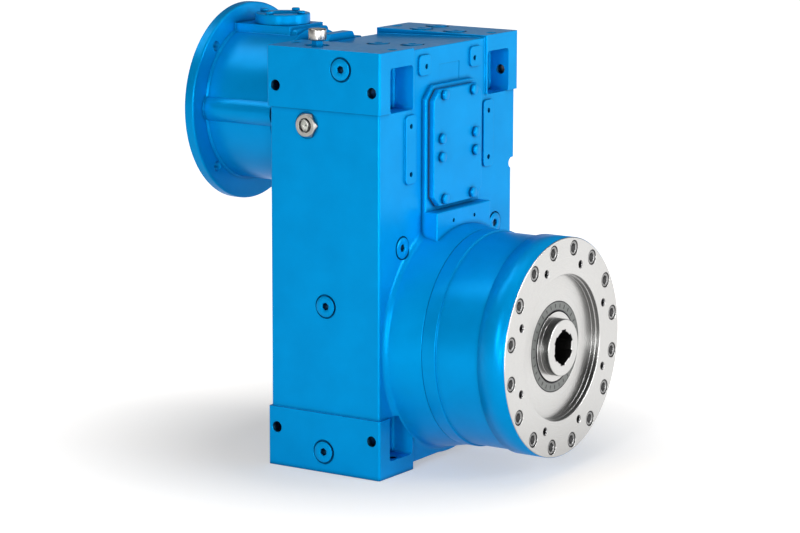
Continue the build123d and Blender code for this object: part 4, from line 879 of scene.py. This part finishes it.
def thread_rings(name, hole_r, depth, pitch):
    """The flanks of a tapped hole, below z=0."""
    start = -1.2 * MM
    crest_r = hole_r - pitch * 0.42
    wall_r = hole_r - 0.05 * MM
    root_r = wall_r - 0.05 * MM
    flanks = []
    for k in range(int(depth / pitch)):
        top = start - k * pitch
        flanks += [(root_r, top), (crest_r, top - pitch / 2)]
    bottom = flanks[-1][1]
    return lofted(name, flanks + [(wall_r, bottom), (wall_r, start)], closed=True)


def tapped_threads():
    """Threads in the flange's eight tapped holes."""
    mount = mount_of("flange_taps")
    hole_r = mount["dims"]["hole_r_mm"] * MM
    repeated(
        "flange_threads", thread_rings("flange_thread", hole_r, TAP_DEPTH, THREAD_PITCH),
        circle_places(mount, TAP_TURN), GEAR_METAL, "gear_steel", HOUSING,
    )


def painted_rim():
    """Enamel that runs on from the barrel over the flange's rim, short of its face."""
    inner = (FLANGE_HIGH.z - FLANGE_LOW.z) / 2 - RIM_PAINT
    outer = inner + 2 * RIM_PAINT
    start = BARREL_END + 0.4 * MM
    stop = FLANGE_HIGH.x - 1.3 * MM
    mesh = lofted("painted_rim", [
        (inner, start), (outer, start + RIM_PAINT), (outer, stop), (inner, stop + 0.1 * MM),
    ], closed=True, count=144)
    centre = Vector((0, OUTPUT_CENTRE.y, OUTPUT_CENTRE.z))
    finished("painted_rim", moved(mesh, centre, ALONG_X), ENAMEL, "paint", HOUSING)


def breather_cap():
    """Plated breather cap with a fluted side and a rounded crown."""
    low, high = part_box("breather_cap")
    radius = (high.x - low.x) / 2
    height = high.z - low.z

    def fluted(step=0.0):
        return lambda angle: radius - 0.35 * MM * (1 - cos(12 * angle)) / 2 - step

    centre = Vector(((low.x + high.x) / 2, (low.y + high.y) / 2, low.z))
    mesh = lofted("breather_cap_fluted", [
        (radius * 0.45, 0.2 * MM),
        (radius - 1.6 * MM, 0),
        (fluted(0.3 * MM), 0.6 * MM),
        (fluted(), 1.6 * MM),
        (fluted(), height - 2.2 * MM),
        (fluted(0.4 * MM), height - 1.0 * MM),
        (radius - 1.6 * MM, height - 0.2 * MM),
        (radius - 3.0 * MM, height),
    ])
    moved(mesh, centre, ALONG_Z)
    finished("breather_cap_fluted", mesh, ZINC_METAL, "zinc_plated", HOUSING, "breather_cap")


def sight_window():
    """Cup, reflector, float dot and pane of the oil sight, stacked outwards in its depth."""
    low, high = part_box("sight_glass_lens")
    radius = (high.x - low.x) / 2
    depth = high.y - low.y
    centre = Vector(((low.x + high.x) / 2, high.y, (low.z + high.z) / 2))

    def disc(name, wide, bottom, top, material, slot, *replaced):
        wide *= radius
        bottom *= depth
        top *= depth
        edge = 0.12 * (top - bottom)
        mesh = lofted(name, [(wide, bottom), (wide, top - edge), (wide - edge, top)])
        finished(name, moved(mesh, centre, AGAINST_Y), material, slot, HOUSING, *replaced)

    disc("sight_cup", 1.0, 0.02, 0.12, GASKET_SHEET, "gasket")
    disc("sight_reflector", 0.80, 0.12, 0.30, REFLECTOR, "sight_glass")
    disc("sight_dot", 0.12, 0.30, 0.42, GASKET_SHEET, "gasket")
    disc("sight_pane", 1.0, 0.62, 0.98, GLASS, "sight_glass", "sight_glass_lens")


# Camera, light and floor

def photo_camera():
    """Camera at the photograph's viewpoint."""
    forward = Vector((
        -sin(CAMERA_YAW) * cos(CAMERA_PITCH),
        cos(CAMERA_YAW) * cos(CAMERA_PITCH),
        -sin(CAMERA_PITCH),
    ))
    right = Vector((cos(CAMERA_YAW), sin(CAMERA_YAW), 0))
    up = right.cross(forward)
    level = Matrix((right, up, -forward)).transposed()
    data = bpy.data.cameras.new("photo_camera")
    data.lens = LENS
    data.sensor_width = 36
    camera = bpy.data.objects.new("photo_camera", data)
    turned = level @ Matrix.Rotation(CAMERA_ROLL, 3, "Z")
    camera.matrix_world = Matrix.Translation(CAMERA_PLACE) @ turned.to_4x4()
    bpy.context.scene.collection.objects.link(camera)
    bpy.context.scene.camera = camera


def softbox(name, place_at, aim, width, height, power):
    """Large area lamp aimed at a point, with its sides in metres and its power in watts."""
    data = bpy.data.lights.new(name, "AREA")
    data.shape = "RECTANGLE"
    data.size = width
    data.size_y = height
    data.energy = power
    lamp = bpy.data.objects.new(name, data)
    lamp.location = place_at
    lamp.rotation_mode = "QUATERNION"
    lamp.rotation_quaternion = (Vector(aim) - Vector(place_at)).to_track_quat("-Z", "Y")
    bpy.context.scene.collection.objects.link(lamp)


def seen_or_mirrored(tree):
    """1 where the camera, a gloss or a clear pane sees the surface, otherwise 0."""
    path = add_node(tree, "ShaderNodeLightPath")
    shiny = calculated(
        tree, "MAXIMUM", path.outputs["Is Glossy Ray"], path.outputs["Is Transmission Ray"]
    )
    return path.outputs["Is Camera Ray"], shiny


def studio_world():
    """White behind the object; a bright band at the horizon in gloss; soft light elsewhere."""
    world = bpy.data.worlds.new("studio")
    world.use_nodes = True
    tree = world.node_tree
    tree.nodes.clear()
    direction = add_node(tree, "ShaderNodeTexCoord").outputs["Generated"]
    toward = add_node(tree, "ShaderNodeSeparateXYZ", {0: direction}).outputs
    # Gloss sees a bright horizon, a dark ceiling and a dimmer side behind the viewer
    ceiling = stretched(tree, toward["Z"], 1.0, 0.12, source=(0.0, 0.28))
    backdrop = stretched(tree, toward["Y"], 0.30, 1.0, source=(-0.3, 0.3))
    mirrored = calculated(tree, "MULTIPLY", ceiling, backdrop)
    for aim, spread, strength in MIRRORED_BOXES:
        near = add_node(
            tree, "ShaderNodeVectorMath", {0: direction, 1: aim}, operation="DOT_PRODUCT"
        ).outputs["Value"]
        box = stretched(tree, near, 0.0, strength, source=(1 - spread, 1 - spread / 2))
        mirrored = calculated(tree, "ADD", mirrored, box)
    gloss = add_node(tree, "ShaderNodeBackground", {"Strength": mirrored})
    # The soft wash is stronger from the cover side than from behind or overhead
    window = stretched(tree, toward["X"], 0.15, 0.50, source=(-0.2, 1.0))
    overhead = stretched(tree, toward["Z"], 1.0, 0.42, source=(0.1, 0.9))
    wash = calculated(tree, "MULTIPLY", window, overhead)
    soft = add_node(tree, "ShaderNodeBackground", {"Strength": wash})
    white = add_node(tree, "ShaderNodeBackground", {"Strength": 1.0})
    for background in (gloss, soft, white):
        background.inputs["Color"].default_value = (1, 1, 1, 1)
    seen, shiny = seen_or_mirrored(tree)
    lit = add_node(
        tree, "ShaderNodeMixShader", {0: shiny, 1: soft.outputs[0], 2: gloss.outputs[0]}
    )
    shown = add_node(
        tree, "ShaderNodeMixShader", {0: seen, 1: lit.outputs[0], 2: white.outputs[0]}
    )
    output = add_node(tree, "ShaderNodeOutputWorld")
    tree.links.new(shown.outputs[0], output.inputs[0])
    bpy.context.scene.world = world


def pale_floor():
    """Floor that fades into the white behind it and keeps the object's soft shadow, with painted
    shadow where its glow dims near the object.
    """
    bm = bmesh.new()
    bmesh.ops.create_grid(bm, x_segments=1, y_segments=1, size=40)
    mesh = bpy.data.meshes.new("floor")
    bm.to_mesh(mesh)
    bm.free()
    floor = bpy.data.objects.new("floor", mesh)
    material, tree, shader = surface("pale_floor", PALE_FLOOR, metallic=0.0, roughness=0.7)
    shader.inputs["Specular IOR Level"].default_value = 0.1
    shader.inputs["Emission Color"].default_value = (1, 1, 1, 1)
    # Painted shadow: the glow is low near the object and grows away from it, so its shadow stays
    # and the far floor is white
    distance = add_node(tree, "ShaderNodeVectorMath", {0: place(tree)}, operation="LENGTH")
    fade = stretched(tree, distance.outputs["Value"], 0.42, 1.02, source=(0.3, 0.8))
    seen, shiny = seen_or_mirrored(tree)
    glow = calculated(tree, "MULTIPLY", calculated(tree, "MAXIMUM", seen, shiny), fade)
    tree.links.new(glow, shader.inputs["Emission Strength"])
    mesh.materials.append(material)
    bpy.context.scene.collection.objects.link(floor)


def light_studio():
    """Key on the cover side, strip on the narrow side, low streak on the barrel and top light."""
    middle = (CAD_LOW + CAD_HIGH) / 2
    softbox("key", (3.1, 0.9, 1.1), middle, width=1.5, height=1.3, power=62)
    softbox("strip", (0.9, -3.6, 1.2), middle, width=0.8, height=1.4, power=50)
    softbox("streak", (1.55, -2.35, 0.16), OUTPUT_CENTRE, width=0.7, height=0.2, power=14)
    softbox("top", (0.4, -0.4, 3.2), middle, width=1.8, height=1.8, power=12)


dress_nodes()
for eased_node, eased_width, eased_slot in EASED_PIECES:
    softened(eased_node, eased_width * MM, MATERIAL_OF_SLOT[eased_slot], eased_slot)
painted_rim()
fasteners()
screw_recesses()
hole_shade_linings()
tapped_threads()
breather_cap()
sight_window()

photo_camera()
studio_world()
light_studio()
pale_floor()
bpy.context.scene.view_settings.view_transform = "Standard"
